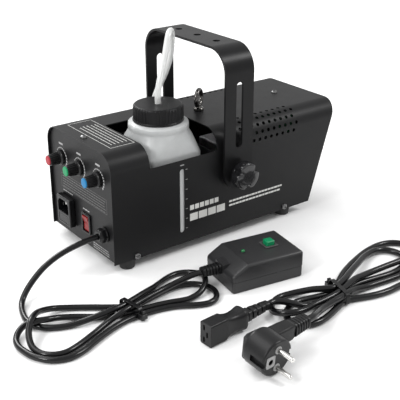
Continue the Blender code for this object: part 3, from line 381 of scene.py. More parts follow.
def smooth(points, spacing, floor=None):
    """Points of a smooth curve through the given ones, never lower than floor."""
    knots = [Vector(place) for place in points]
    knots = [knots[0] * 2 - knots[1], *knots, knots[-1] * 2 - knots[-2]]
    line = []
    for a, b, c, d in zip(knots, knots[1:], knots[2:], knots[3:]):
        steps = max(1, round((c - b).length / spacing))
        for i in range(steps):
            t = i / steps
            place = b * 2 + (c - a) * t + (a * 2 - b * 5 + c * 4 - d) * t ** 2
            line.append((place + (b * 3 - a - c * 3 + d) * t ** 3) / 2)
    line.append(knots[-2])
    if floor is not None:
        for place in line:
            place.z = max(place.z, floor)
    return line


def cable(name, points, radius, finish_name, floor=None):
    """A round curve of one spline along a smooth route."""
    curve = bpy.data.curves.new(name, "CURVE")
    curve.dimensions = "3D"
    curve.bevel_depth = radius * MM
    curve.bevel_resolution = 6
    curve.use_fill_caps = True
    line = smooth(points, 2.5, floor)
    spline = curve.splines.new("POLY")
    spline.points.add(len(line) - 1)
    for point, place in zip(spline.points, line):
        point.co = (*at(*place), 1.0)
    spline.use_smooth = True
    curve.materials.append(M[finish_name])
    obj = bpy.data.objects.new(name, curve)
    scene.collection.objects.link(obj)
    return obj


# Camera, fitted to the straight edges of the case in the photo

camera_data = bpy.data.cameras.new("camera")
camera_data.sensor_width = 36.0
camera_data.lens = 76.715
camera_data.clip_start = 0.01
camera = bpy.data.objects.new("camera", camera_data)
camera.location = (-0.57014, -0.77786 + SHIFT.y * MM, 0.45951)
camera.rotation_euler = (math.radians(90 - 24.329), 0.0, math.radians(-36.841))
scene.collection.objects.link(camera)
scene.camera = camera

# Cords: each route runs from one end to the other, through the middle of the cord.

LEAD_R = 3.2
LEAD = ((-163.2, -48, 41), (-176, -48, 40.2), (-191, -48.2, 38.3), (-206, -49, 35.6), (-220, -50.6, 31.8),
        (-233, -53, 26.6), (-245, -56, 19.6), (-255.5, -59.6, 12), (-263.5, -65, 5.8), (-269, -74, 3.4),
        (-273.5, -87, 3.2), (-275.6, -100, 3.2), (-272.8, -114, 3.2), (-263, -125, 3.2), (-249, -132, 3.4),
        (-234, -136.6, 5.2), (-220, -140.6, 8), (-205, -142.4, 9.8), (-191, -141.6, 9.9), (-176, -138, 9.9),
        (-159, -133, 9.6), (-143, -126, 7), (-128, -117.6, 4.2), (-115, -112.2, 3.2), (-102, -111, 3.2),
        (-92, -115.4, 3.4), (-86.4, -124.6, 5), (-86.4, -135.6, 8), (-91, -147.4, 9.8), (-99, -156.6, 8.4),
        (-110, -161.8, 5.2), (-125, -161.8, 3.2), (-141, -156.6, 3.2), (-156, -152.6, 3.2),
        (-170, -150.4, 3.2), (-184, -148.6, 3.2), (-201, -144, 3.2), (-218, -134, 3.2), (-234, -122.8, 3.6),
        (-249, -118, 6), (-263, -118, 9.2), (-274, -115.4, 9.9), (-284, -113.8, 9), (-293, -117, 6.2),
        (-299.6, -124.6, 3.8), (-302.4, -135, 3.2), (-301.6, -147, 3.2), (-298, -160, 3.2),
        (-288, -174, 3.2), (-273, -180.6, 3.2), (-257, -178.4, 3.2), (-238, -170.6, 3.2),
        (-216, -162.4, 3.2), (-200, -158.6, 3.2), (-184, -157.4, 3.2), (-168, -158.6, 3.2),
        (-152, -162, 3.2), (-139, -167, 3.2), (-126, -175, 3.2), (-113, -180.6, 3.2), (-101, -178.6, 3.2),
        (-92.6, -168, 3.2), (-91.4, -155, 3.2), (-98, -142.6, 3.2), (-110, -134.4, 3.2), (-127, -132, 3.2),
        (-145, -135, 3.2), (-160, -137.6, 3.2), (-172, -138.4, 3.2), (-184, -135.6, 3.2),
        (-198, -126.4, 3.2), (-214, -114.4, 3.2), (-230, -104, 3.6), (-246, -98.4, 5.8),
        (-261, -102.4, 10.6), (-272, -111.6, 15.4), (-281.6, -121.6, 16.1), (-290, -133, 11),
        (-293.4, -146, 5), (-290.6, -159, 3.2), (-282, -168, 3.2), (-270, -171, 3.2), (-254, -167, 3.2),
        (-235, -159.6, 3.2), (-214, -152.6, 5.4), (-196, -150.4, 9.2), (-180, -147.6, 9.9),
        (-160, -143, 9.9), (-142, -139.8, 10), (-126, -139.6, 12), (-112, -143.2, 16.2),
        (-103, -145.2, 18.3), (-95.9, -146.4, 18.5))
MAINS_R = 3.5
MAINS = ((-72.9, -230.6, 12.6), (-66.5, -230.4, 12.6), (-58.5, -234.4, 11.8), (-50, -241, 9.4),
         (-42, -246.6, 6.6), (-32, -249.4, 4.2), (-20, -250, 3.5), (-8, -250, 3.5), (6, -249.2, 3.5),
         (22, -246.4, 3.5), (40, -245.4, 3.5), (58, -247.6, 3.5), (76, -250.6, 3.5), (92, -251.2, 3.5),
         (107, -247.6, 3.5), (120.5, -239, 3.6), (127, -226, 3.8), (121.5, -212, 4.2), (107.5, -206.2, 5.4),
         (86, -210.6, 6.8), (64, -220.4, 8.6), (44, -229.6, 10), (24, -239, 10.5), (6, -244, 10.5),
         (-5.5, -239.5, 10.6), (-14.5, -231.5, 9), (-24, -224, 6.2), (-34, -218.4, 4.2), (-46, -216, 3.5),
         (-58, -219.6, 3.5), (-67.5, -227.4, 3.8), (-72, -238, 6.4), (-70.5, -248.4, 9.8),
         (-62, -255.6, 10.5), (-49.5, -257, 9.8), (-35, -255.2, 9.4), (-20, -255, 9.6), (-5, -254.6, 10.3),
         (9, -252.2, 10.5), (23, -247.8, 10.6), (36, -244.4, 10.5), (48, -243.6, 10), (62, -243, 9.4),
         (84, -244, 9.8), (104, -246, 10.6), (122, -246, 10.6), (138, -241.4, 10.8), (153, -240, 8.2),
         (168, -244, 4.6), (177, -256, 3.5), (173, -270.6, 3.5), (158, -278, 3.5), (140, -279.4, 3.5),
         (118, -278, 3.5), (96, -276.6, 3.5), (75, -274.6, 3.5), (55, -275, 3.5), (38, -272.6, 3.5),
         (22, -267.4, 3.5), (5, -261.6, 3.5), (-10, -265.4, 3.5), (-25, -270.4, 3.5), (-38, -273.6, 3.5),
         (-49, -274.4, 3.5), (-59, -271.6, 3.5), (-66.6, -263.4, 3.5), (-67.6, -252.6, 3.5),
         (-61, -243, 3.5), (-51, -236.4, 3.5), (-40, -233.8, 3.5), (-28, -235.4, 3.5), (-14, -239, 3.5),
         (0, -241, 3.5), (14, -236.6, 3.5), (28, -228.4, 3.5), (42, -220.4, 3.5), (58, -213, 3.5),
         (76, -206.4, 3.5), (100, -199.4, 3.5), (122, -197, 3.5), (138, -200.4, 3.5), (148, -209, 3.5),
         (151, -221, 3.5), (147.5, -234, 3.5), (138, -245, 3.5), (124, -253.6, 3.5), (107, -259, 3.5),
         (90, -260, 3.5), (73, -259, 3.5), (56, -257, 3.5), (40, -255.6, 4.2), (24, -256, 7.2),
         (10, -259, 9.8), (-3, -262, 10.5), (-16, -263.6, 10.6), (-30, -266.6, 11.2), (-43, -271.4, 13.4),
         (-54, -277.6, 17), (-63.5, -282.8, 20), (-73.1, -284.7, 20.9))
lead = cable("remote_lead_cord", LEAD, LEAD_R, "cord_pvc", LEAD_R)
settle(lead, CASE, ("remote_lead", "remote_hank", "remote_lead_end"))
mains = cable("mains_lead_cord", MAINS, MAINS_R, "cord_pvc", MAINS_R)
settle(mains, CASE, ("lead_hank", "mains_lead_end"))


def tie(name, start, end, top, width=4.6):
    """A cable tie round a flat bundle, with its head at the start and a short cut tail."""
    start, end = Vector((*start, 0)), Vector((*end, 0))
    across = (end - start).normalized()
    half = (end - start).length / 2
    middle = (start + end) / 2
    turn = Matrix((across, (0, 0, 1), across.cross(Vector((0, 0, 1))))).transposed().to_4x4()
    height = top / 2
    outer = round_rect(half, height - 0.05, height * 0.7, 6, 0, height)
    inner = round_rect(half - 1.1, height - 1.15, height * 0.7 - 1.0, 6, 0, height)
    strap = band(outer, inner, -width / 2, width / 2)
    head = prism(round_rect(3.4, 3.0, 0.8, 2, -half - 2.2, height * 0.72), -width / 2 - 1.2,
                 width / 2 + 1.2)
    tail = prism(round_rect(1.2, 2.6, 0.4, 2, -half - 3.0, height * 0.72 + 4.2), -width / 2 + 0.4,
                 width / 2 - 0.4)
    obj = as_object(joined(strap, head, tail), name, M["black_plastic"], middle, turn)
    return settle(obj, CASE, edge=0.25)


lead_tie = tie("remote_lead_tie", (-181.6, -162), (-186.2, -131.2), 13.9)
mains_tie = tie("mains_lead_tie", (11.5, -231.4), (1.5, -267.6), 14.6)


def ribbed_tail(name, length, half_start, half_end, place, direction, node, pitch=3.9):
    """A tapered relief made of spaced plates joined by staggered bars round a core."""
    works = [lathe([(half_end - 1.0, 0), (half_end - 0.9, length)], 24)]
    count = max(4, round(length / pitch))
    pitch = length / count
    for i in range(count):
        share = (i + 0.5) / count
        half = half_start + (half_end - half_start) * share
        z = i * pitch
        outline = round_rect(half, half * 0.92, half * 0.55, 4)
        small = round_rect(half - 0.35, half * 0.92 - 0.35, half * 0.5, 4)
        plate_top = z + pitch * 0.58
        works.append(loft([(small, z), (outline, z + 0.35), (outline, plate_top), (small, plate_top + 0.3)]))
        bar_at = (half if i % 2 else -half) * 0.45
        for turn in (0, 90):
            rib = block((bar_at - 1.3, -half * 0.8, z), (bar_at + 1.3, half * 0.8, z + pitch * 1.05))
            works.append(turned(rib, Matrix.Rotation(math.radians(turn), 4, "Z")))
    obj = as_object(joined(*works), name, M["moulded_pvc"], place, facing(direction))
    return settle(obj, CASE, (node,) if node else ())


# Remote strain relief
TURN_REMOTE = Matrix.Rotation(math.radians(-9.0), 4, "Z")
REMOTE = Vector((-78.5, -179.5, 0.0))


def on_remote(x, y, z):
    return REMOTE + TURN_REMOTE @ Vector((x, y, z))


relief = ribbed_tail("remote_relief", 21.6, 6.4, 5.2, on_remote(-0.4, 30, 18.5),
                     TURN_REMOTE @ Vector((-1, 0, 0)), "remote_strain_relief")

# Mains connector
TURN_CONNECTOR = Matrix.Rotation(math.radians(4.0), 4, "Z")
CONNECTOR = Vector((-158.0, -236.5, 12.6))
CONTACTS = ((2.2, -6.6), (-2.2, 0), (2.2, 6.6))


def connector():
    """The cord connector: flat-nosed front, waisted grip, collar and ribbed tail."""
    sections = [(round_rect(7.6, 11.6, 1.6, 4), 0), (round_rect(8.0, 12.0, 1.8, 4), 0.5),
                (round_rect(8.0, 12.0, 1.8, 4), 20.5), (round_rect(7.7, 11.6, 2.2, 4), 21.6),
                (round_rect(7.6, 11.2, 3.0, 4), 22.4), (round_rect(7.4, 10.2, 4.2, 4), 27),
                (round_rect(7.6, 9.6, 4.8, 4), 33), (round_rect(8.4, 10.0, 5.2, 4), 38.5),
                (round_rect(9.4, 11.2, 6.0, 4), 43.5), (round_rect(9.6, 11.5, 6.2, 4), 45.5),
                (round_rect(9.0, 10.8, 6.2, 4), 47.2), (round_rect(6.4, 7.6, 5.0, 4), 48.4),
                (round_rect(5.8, 6.6, 4.6, 4), 52)]
    turn = TURN_CONNECTOR @ facing((1, 0, 0))
    body = as_object(loft(sections), "connector_body", M["moulded_pvc"], CONNECTOR, turn)
    slots = [as_object(prism(round_rect(1.25, 2.9, 0.5, 2, shift, z), -3, 14), "slot_cut", M["pit_black"],
                       CONNECTOR, turn) for shift, z in CONTACTS]
    carved(body, *slots)
    groove = as_object(band(round_rect(8.6, 12.6, 2.0, 4), round_rect(7.55, 11.55, 1.8, 4), 21.0, 21.7),
                       "groove", M["pit_black"], CONNECTOR, turn)
    carved(body, groove)
    settle(body, CASE, ("lead_connector",), 0.3)
    liners = [moved(prism(round_rect(0.7, 2.2, 0.3, 2), 2.5, 10), (shift, z, 0)) for shift, z in CONTACTS]
    inside = as_object(joined(*liners), "connector_contacts", M["brass"], CONNECTOR, turn)
    settle(inside, CASE)
    tail = ribbed_tail("connector_tail", 33.2, 6.6, 4.4, CONNECTOR + TURN_CONNECTOR @ Vector((51.5, 0, 0)),
                       TURN_CONNECTOR @ Vector((1, 0, 0)), None, 6.6)
    return [body, inside, tail]


connector_pieces = connector()

# Mains plug
TURN_PLUG = Matrix.Rotation(math.radians(4.0), 4, "Z") @ Matrix.Rotation(math.radians(5.0), 4, "X")
PLUG = Vector((-136.0, -313.0, 18.8))
EARTH_X = -8.6              # the earth hole beside the pins
ARM_BACK = 24               # the arm's middle behind the disc's face


def on_plug(x, y, z):
    return PLUG + TURN_PLUG @ Vector((x, y, z))


def earth_frame(inner):
    """The outer outline of the frame round the earth hole: a rectangle with its corners cut."""
    outer = []
    for x, y in inner:
        reach = min(5.2 / max(abs(x), 0.1), 6.0 / max(abs(y), 0.1), 2.5)
        outer.append((x * reach, y * reach))
    return outer


def plug():
    """The angled mains plug: notched disc, earth contacts, two pins, arm and ribbed nose."""
    face = TURN_PLUG @ facing((0, -1, 0))

    def cutter(outline, low, name):
        return as_object(prism(outline, low, 3), name, M["pit_black"], PLUG, face)

    profile = [(17.4, 0), (18.4, -1.0), (18.6, -2.0), (18.6, -24.0), (17.6, -26.4), (15.5, -27)]
    disc = as_object(lathe(profile, 64), "plug_disc", M["moulded_pvc"], PLUG, face)
    notches = [cutter([(side * 15.2, -3.4), (side * 21, -3.4), (side * 21, 3.4), (side * 15.2, 3.4)], -16,
                      "notch") for side in (-1, 1)]
    holes = [cutter(circle(4.0, 24, 0, z), -0.7, "pin_recess") for z in (-PIN_REACH, PIN_REACH)]
    carved(disc, *notches, *holes, cutter(circle(2.7, 24, EARTH_X, 0), -16, "earth_hole"))
    settle(disc, CASE, ("plug_body",), 0.35)
    inner = circle(2.9, 48)
    earth = as_object(band(earth_frame(inner), inner, -0.2, 0.8), "plug_earth_frame", M["earth_grey"],
                      on_plug(EARTH_X, 0, 0), face)
    settle(earth, CASE, edge=0.2)
    clip = moved(prism(round_rect(0.5, 2.4, 0.3, 2), -14, -0.8), (15.8, 0, 0))
    clip = as_object(clip, "plug_earth_clip", M["pin_nickel"], PLUG, face)
    settle(clip, CASE)
    pins = []
    for word, z in (("upper", PIN_REACH), ("lower", -PIN_REACH)):
        place = on_plug(0, 0, z)
        pin = as_object(lathe([(2.4, -3), (2.4, 17.4), (2.2, 18.4), (1.6, 19.0), (0.6, 19.3)], 32),
                        f"plug_{word}_pin", M["pin_nickel"], place, face)
        settle(pin, CASE, (f"plug_pin_{word}",))
        collar = as_object(band(circle(3.9, 32), circle(2.5, 32), -0.7, 0.7), f"plug_{word}_collar",
                           M["earth_grey"], place, face)
        pins += [pin, settle(collar, CASE, edge=0.2)]
    sections = [(round_rect(7.4, 12.4, 2.4, 4), -13), (round_rect(8.0, 13.6, 2.6, 4), -9),
                (round_rect(8.0, 13.2, 2.6, 4), 3), (round_rect(7.8, 9.2, 2.6, 4), 17),
                (round_rect(7.6, 9.0, 2.6, 4), 30), (round_rect(7.2, 8.6, 3.0, 4), 39),
                (round_rect(6.4, 7.6, 3.4, 4), 42)]
    arm = as_object(loft(sections), "plug_arm", M["moulded_pvc"], on_plug(0, ARM_BACK, 0),
                    TURN_PLUG @ facing((1, 0, 0)))
    settle(arm, CASE, edge=0.3)
    nose = ribbed_tail("plug_nose", 22.4, 8.2, 6.4, on_plug(42, ARM_BACK, 0),
                       TURN_PLUG @ Vector((1, 0, 0)), None)
    return [disc, earth, clip, *pins, arm, nose]


plug_pieces = plug()

# Pieces that keep their CAD shape, with softer edges and smoother shading
skin("base_tray", "black_coat", CASE, 0.0)
skin("tank_well", "black_coat", CASE, 0.2)
skin("tank", "tank_plastic", "fluid_tank", 0.0, 50)
skin("inlet_socket", "black_plastic", CASE, 0.3)
skin("fuse_drawer", "black_plastic", "fuse", 0.25)
skin("switch_frame", "black_plastic", CASE, 0.25)
skin("switch_rocker", "switch_red", "rocker", 0.5)
skin("remote_button", "button_green", "push_button", 0.3)
for side in ("left", "right"):
    skin(f"pivot_washer_{side}", "foot_rubber", CASE, 0.2)


def arch(half, bottom, top, bend, sheet, steps=24):
    """The section of an upside-down U of sheet metal, as (across, up) points."""

    def corner(side, radius, start, end):
        angles = [math.radians(start + (end - start) * i / steps) for i in range(steps + 1)]
        return [(side * (half - bend) + radius * math.cos(a), top - bend + radius * math.sin(a))
                for a in angles]

    outside = [(-half, bottom), *corner(-1, bend, 180, 90), *corner(1, bend, 90, 0), (half, bottom)]
    inner = bend - sheet
    inside = [(half - sheet, bottom), *corner(1, inner, 0, 90), *corner(-1, inner, 90, 180),
              (sheet - half, bottom)]
    return outside + inside


# Turns that lay a flat outline, given as (across, up), along the X or the Y axis.
ALONG_X = Matrix(((0, 0, 1), (1, 0, 0), (0, 1, 0))).to_4x4()
ALONG_Y = Matrix(((1, 0, 0), (0, 0, 1), (0, 1, 0))).to_4x4()


def tool(work, turn=None):
    """A shape to cut away from a sheet, or to join on to it."""
    return as_object(turned(work, turn), "tool", M["pit_black"])


def vent_holes(rows=5, columns=10, radius=2.15, step_round=8.95, first_x=21.1, step_along=8.9):
    """Cutters for the staggered holes, in rows that follow the hood's bends down both sides."""
    vents = []
    for row in range(rows):
        travel = row * step_round
        angle = min(travel / HOOD_BEND, math.pi / 2)
        drop = max(travel - HOOD_BEND * math.pi / 2, 0.0)
        middle = HOOD_BEND - HOOD_SHEET / 2
        z = HOOD_TOP - HOOD_BEND + middle * math.cos(angle) - drop
        for side in (-1, 1):
            turn = Matrix.Rotation(-side * angle, 4, "X")
            y = side * (HALF_WIDTH - HOOD_BEND + middle * math.sin(angle))
            vents += [moved(prism(circle(radius, 14), -2, 2),
                            (first_x + step_along * (hole + 0.5 * (row % 2)), y, z), turn)
                      for hole in range(columns)]
    return vents


def hood():
    """The folded hood with finer bends and rounder holes than its CAD node."""
    section = arch(HALF_WIDTH, HOOD_FOOT, HOOD_TOP, HOOD_BEND, HOOD_SHEET)
    sheet = as_object(turned(prism(section, HOOD_REAR, HOOD_FRONT), ALONG_X), "hood_sheet",
                      M["black_coat"], angle=FOLD_ANGLE)
    rake = Matrix.Rotation(math.atan2(LIP_X - CHIN_X, HOOD_TOP - HOOD_FOOT), 4, "Y")
    front = moved(block((0, -90, -100), (60, 90, 100)),
                  ((LIP_X + CHIN_X) / 2, 0, (HOOD_TOP + HOOD_FOOT) / 2), rake)
    bay = block((-107.0, -75, 113.8), (-15.5, 21.2, 143))
    window = prism(round_rect(3.2, 38.95, 3.19, 8, SIGHT_X, 64.45), -75, -65)
    pivot = prism(circle(3.3, 24, PIVOT_X, PIVOT_Z), -75, 75)
    screw_holes = [prism(circle(1.7, 12, x, z), -75, 75) for x, z in SIDE_SCREWS]
    top_spots = [*((x, 1.7) for x in TOP_SCREWS), (EYE_X, 3.1)]
    top_holes = [moved(prism(circle(radius, 16), 130, 142), (x, 0, 0)) for x, radius in top_spots]
    carved(sheet, tool(front), tool(bay), tool(window, ALONG_Y), tool(joined(pivot, *screw_holes), ALONG_Y),
           tool(joined(*top_holes)), tool(joined(*vent_holes())), angle=FOLD_ANGLE)
    settle(sheet, CASE, ("hood_cover",))


def bracket():
    """The strap with finer bends, rounded arm ends and softened edges."""
    half = STRAP_WIDTH / 2
    section = arch(STRAP_HALF, PIVOT_Z, STRAP_TOP, STRAP_BEND, STRAP_SHEET)
    strap = as_object(turned(prism(section, PIVOT_X - half, PIVOT_X + half), ALONG_X), "bracket_strap",
                      M["black_bracket"], angle=FOLD_ANGLE)
    inside = STRAP_HALF - STRAP_SHEET
    # a hair smaller than the strap is wide, so that no faces coincide
    ends = [tool(prism(circle(half - 0.01, 64, PIVOT_X, PIVOT_Z), *span), ALONG_Y)
            for span in ((-STRAP_HALF, -inside), (inside, STRAP_HALF))]
    carved(strap, *ends, how="UNION", angle=FOLD_ANGLE)
    slots = joined(prism(round_rect(4.85, 38.25, 4.84, 10, PIVOT_X, 153.65), -85, 85),
                   prism(circle(3.3, 24, PIVOT_X, PIVOT_Z), -85, 85))
    holes = [moved(prism(circle(4.3, 32), 220, 235), (PIVOT_X, y, 0)) for y in (-36.0, 0.0, 36.0)]
    carved(strap, tool(slots, ALONG_Y), tool(joined(*holes)), angle=FOLD_ANGLE)
    settle(strap, "carry_bracket", ("bracket",), 0.3)


def remote_shells():
    """The remote's two shells: rounded edges, a slope at the lead's end and a raised block on it."""
    length, width, height, edge = 88.0, 60.0, 31.0, 3.4
    split = 13.5                # where the cover meets the base
    run, low = 18.5, 20.0       # the slope's length, and its lower end
    upright = Matrix.Rotation(math.pi / 2, 4, "X")
    outline = [(0, 2), (length, 2), (length, height), (run, height), (0, low)]
    cover = turned(prism(outline, -width, 0), upright)
    bmesh.ops.recalc_face_normals(cover, faces=cover.faces)
    edges = [e for e in cover.edges if e.calc_face_angle(0.0) > math.radians(35)]
    bmesh.ops.bevel(cover, geom=edges, offset=edge, segments=5, profile=0.5, affect="EDGES")
    everything = [*cover.verts, *cover.edges, *cover.faces]
    bmesh.ops.bisect_plane(cover, geom=everything, plane_co=(0, 0, split), plane_no=(0, 0, 1),
                           clear_inner=True)
    bmesh.ops.holes_fill(cover, edges=[e for e in cover.edges if e.is_boundary])
    raised = [(0.5, 15.0), (0.5, 24.2), (1.6, 25.3), (9.1, 25.3), (2.2, 20.0)]
    raised = moved(prism(raised, -9.0, 9.0), (0, width / 2, 0), upright)
    shell = as_object(joined(cover, raised), "remote_cover_shell", M["remote_abs"], REMOTE, TURN_REMOTE,
                      FOLD_ANGLE)
    settle(shell, CASE, ("remote_cover",))
    rim = round_rect(length / 2 - 0.3, width / 2 - 0.3, edge - 0.3, 5, length / 2, width / 2)
    foot = round_rect(length / 2 - 1.2, width / 2 - 1.2, edge - 0.9, 5, length / 2, width / 2)
    base = loft([(foot, 0.2), (rim, 1.3), (rim, split - 0.5)])
    base = as_object(base, "remote_base_shell", M["remote_abs"], REMOTE, TURN_REMOTE)
    settle(base, CASE, ("remote_base",))


def feet():
    """Tapered rubber feet with a rounded foot and a screw recess."""
    for name in ("foot_rear_left", "foot_rear_right", "foot_front_left", "foot_front_right"):
        low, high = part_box(name)
        middle = (Vector(low) + Vector(high)) / 2 / MM - SHIFT
        top = high[2] / MM
        work = lathe([(3.8, 7), (4.0, 0.6), (4.6, 0.05), (7.6, 0.0), (8.5, 0.8), (9.4, top - 1),
                      (9.6, top)], 40)
        foot = as_object(work, name + "_rubber", M["foot_rubber"], (middle.x, middle.y, 0))
        settle(foot, CASE, (name,))


def eye():
    """The safety eye: ring, collar and shank in dark nickel."""
    centre = (EYE_X, 0, HOOD_TOP + EYE_RISE)
    turn = Matrix.Rotation(math.radians(35), 4, "Z") @ Matrix.Rotation(math.pi / 2, 4, "X")
    ring = turned(torus(9.6, 2.6), turn)
    stem = lathe([(2.8, -27), (2.8, -15.15), (6.0, -15.15), (6.0, -12.2), (5.2, -11.2), (3.6, -10.6),
                  (2.6, -9.6)], 32)
    whole = as_object(joined(ring, stem), "safety_eye", M["eye_nickel"], centre)
    settle(whole, CASE, ("eyebolt",))


def lobes(radius, depth, steps=72):
    """A round outline with three dips."""
    dips = [max(0.0, math.cos(3 * (math.tau * i / steps - math.radians(30)))) ** 3 for i in range(steps)]
    return spread([radius - depth * dip for dip in dips])


def clamp_knobs():
    """Glossy three-lobed hand knobs on a collar."""
    for side, word in ((-1, "left"), (1, "right")):
        grip = loft([(lobes(13.4, 4.4), 4.9), (lobes(15.6, 4.8), 5.6), (lobes(16.4, 4.9), 7.6),
                     (lobes(16.4, 4.9), 15.4), (lobes(15.6, 4.8), 17.6), (lobes(13.6, 4.4), 18.8),
                     (lobes(6.5, 0.6), 19.0)])
        collar = lathe([(9.8, 0.0), (10.8, 0.5), (10.8, 3.8), (9.6, 4.6), (9.4, 6)], 48)
        stud = lathe([(3.0, -24), (3.0, 1)], 24)
        obj = as_object(joined(grip, collar, stud), f"clamp_knob_{word}", M["gloss_knob"],
                        (PIVOT_X, side * (STRAP_HALF + 0.3), PIVOT_Z), facing((0, side, 0)))
        settle(obj, f"clamp_{word}", (f"pivot_knob_{word}",), 0.3)


def close_inside(work, steps):
    """Join the last outline of an open loft to its first."""
    points = list(work.verts)
    first, last = points[:steps], points[-steps:]
    for i in range(steps):
        j = (i + 1) % steps
        work.faces.new((last[i], last[j], first[j], first[i]))


def cap_and_tube():
    """The ribbed tank cap and the milky tube that loops out of it."""
    steps = 180
    ribs = [1.0 if (i % 4 < 2 and (i // 4) % 9 not in (0, 1)) else 0.0 for i in range(steps)]

    def ribbed(radius, depth):
        return spread([radius + depth * rib for rib in ribs])

    def flat(radius):
        return circle(radius, steps)

    work = loft([(flat(26.0), 149.7), (flat(28.9), 149.7), (flat(29.0), 150.6), (ribbed(28.0, 0.2), 151.9),
                 (ribbed(27.9, 0.85), 153.2), (ribbed(27.6, 0.85), 165.2), (ribbed(27.2, 0.3), 166.6),
                 (flat(26.2), 167.7), (flat(25.0), 168.0), (flat(4.6), 168.0), (flat(3.8), 167.4),
                 (flat(3.8), 164.9), (flat(26.0), 164.9)], cap=False)
    close_inside(work, steps)
    cap = as_object(work, "tank_cap_ribbed", M["cap_plastic"], (*TANK_AXIS, 0), angle=28)
    settle(cap, "cap", ("tank_cap",))
    loop = ((*TANK_AXIS, 160), (*TANK_AXIS, 168), (*TANK_AXIS, 176), (-62.4, -24.4, 187), (-56.6, -22, 202),
            (-49.6, -18.2, 216), (-43.2, -13.4, 228.5), (-36.8, -8, 238), (-30, -2.4, 240), (-25, 2.6, 233),
            (-22.6, 7, 219), (-23.6, 10.6, 202), (-28.4, 13.6, 186), (-35.6, 15.8, 171), (-42.4, 16.5, 156),
            (-47, 16.5, 141), (-48, 16.5, 126), (-48, 16.5, 112.4))
    tube = cable("milky_tube", ((*TANK_AXIS, 60), (*TANK_AXIS, 110), *loop), 3.5, "silicone")
    settle(tube, "fluid_tank", ("suction_tube",))


def dial_knobs():
    """Fluted dimmer knobs with coloured caps and a pale pointer; gives the marks to print round them."""
    steps = 96
    flutes = [math.cos(16 * math.tau * i / steps) for i in range(steps)]

    def ring(radius, depth=0.0):
        return spread([radius + depth * flute for flute in flutes])

    marks = []
    for colour, (y, z) in DIALS.items():
        seat = (KNOB_X, y, z)
        body = loft([(ring(8.4), 0.3), (ring(8.8), 0.8), (ring(8.8), 2.8), (ring(8.3), 3.5),
                     (ring(7.0, 0.15), 4.2), (ring(6.8, 0.3), 5.0), (ring(6.0, 0.3), 15.4),
                     (ring(5.7, 0.15), 16.4), (ring(5.3), 16.8)])
        grip = as_object(body, f"dial_{colour}_grip", M["black_plastic"], seat, TO_REAR)
        settle(grip, f"dial_{colour}", (f"knob_{colour}",))
        cap = lathe([(5.5, 16.6), (5.6, 16.9), (5.4, 17.6), (4.8, 17.95), (2.0, 18.0)], 40)
        top = as_object(cap, f"dial_{colour}_cap", M[f"cap_{colour}"], seat, TO_REAR)
        settle(top, f"dial_{colour}")
        line = joined(block((-0.3, 5.6, 14.0), (0.3, 6.6, 16.4)), block((-0.4, 6.9, 3.0), (0.4, 8.5, 3.62)))
        line = turned(line, Matrix.Rotation(math.radians(-140), 4, "Z"))
        pointer = as_object(line, f"dial_{colour}_pointer", M["print_grey"], seat, TO_REAR)
        settle(pointer, f"dial_{colour}")
        marks += crescent(-y, z)
        marks.append(bar(-y, z + 16.6, 9.0, 2.2))
    return marks


def bar(x, y, width, height):
    return [(x - width / 2, y - height / 2), (x + width / 2, y - height / 2), (x + width / 2, y + height / 2),
            (x - width / 2, y + height / 2)]


def crescent(x, y, radius=10.9, thick=1.9):
    """A scale of short strokes that grow thicker round a dial, as separate outlines."""
    shapes = []
    count = 16
    for i in range(count):
        share = i / (count - 1)
        start = math.radians(215 - 250 * share)
        end = math.radians(215 - 250 * share - 12)
        depth = 0.45 + thick * share
        inner, outer = radius, radius + depth
        shapes.append([(x + r * math.cos(a), y + r * math.sin(a))
                       for r, a in ((inner, start), (outer, start), (outer, end), (inner, end))])
    return shapes


def printed(name, shapes, finish_name, place, direction):
    """Flat printed marks, a tenth of a millimetre proud of a surface."""
    work = joined(*[prism(shape, 0.02, 0.1) for shape in shapes])
    settle(as_object(work, name, M[finish_name], place, facing(direction)), CASE)


def text_rows(x, y, width, rows, pitch, height, seed=0):
    """Rows of short bars of uneven length that stand in for small print."""
    shapes = []
    for row in range(rows):
        start = x
        low = y - row * pitch
        word = 0
        while start < x + width - 2:
            length = 2.2 + 3.1 * abs(math.sin(1.7 * (word + 1) + 2.3 * row + seed))
            end = min(start + length, x + width)
            shapes.append([(start, low), (end, low), (end, low + height), (start, low + height)])
            start = end + 0.8
            word += 1
    return shapes


def frame_lines(x0, y0, x1, y1, width=0.6):
    return [bar((x0 + x1) / 2, y0, x1 - x0, width), bar((x0 + x1) / 2, y1, x1 - x0, width),
            bar(x0, (y0 + y1) / 2, width, y1 - y0), bar(x1, (y0 + y1) / 2, width, y1 - y0)]


def screws():
    """Pan-head screws with a cross recess."""
    spots = [((x, side * HALF_WIDTH, z), (0, side, 0)) for x, z in SIDE_SCREWS for side in (-1, 1)]
    spots += [((x, 0, HOOD_TOP), (0, 0, 1)) for x in TOP_SCREWS]
    for number, (place, direction) in enumerate(spots):
        way = facing(direction)
        head = as_object(lathe([(3.8, 0.02), (3.9, 0.6), (3.4, 2.0), (2.2, 2.8), (0.6, 3.0)], 32),
                         f"screw_{number}", M["dark_steel"], place, way)
        cuts = [as_object(turned(block((-2.1, -0.4, 1.9), (2.1, 0.4, 3.8)), Matrix.Rotation(turn, 4, "Z")),
                          "cross", M["pit_black"], place, way) for turn in (0.6, 0.6 + math.pi / 2)]
        settle(carved(head, *cuts), CASE)


def nut(radius, hexed=0.0, steps=72):
    """A round outline, drawn toward a hexagon by the given share."""
    reaches = []
    for i in range(steps):
        angle = math.tau * i / steps
        flat = math.cos(math.pi / 6) / math.cos((angle % (math.pi / 3)) - math.pi / 6)
        reaches.append(radius * (1 + hexed * (flat - 1)))
    return spread(reaches)


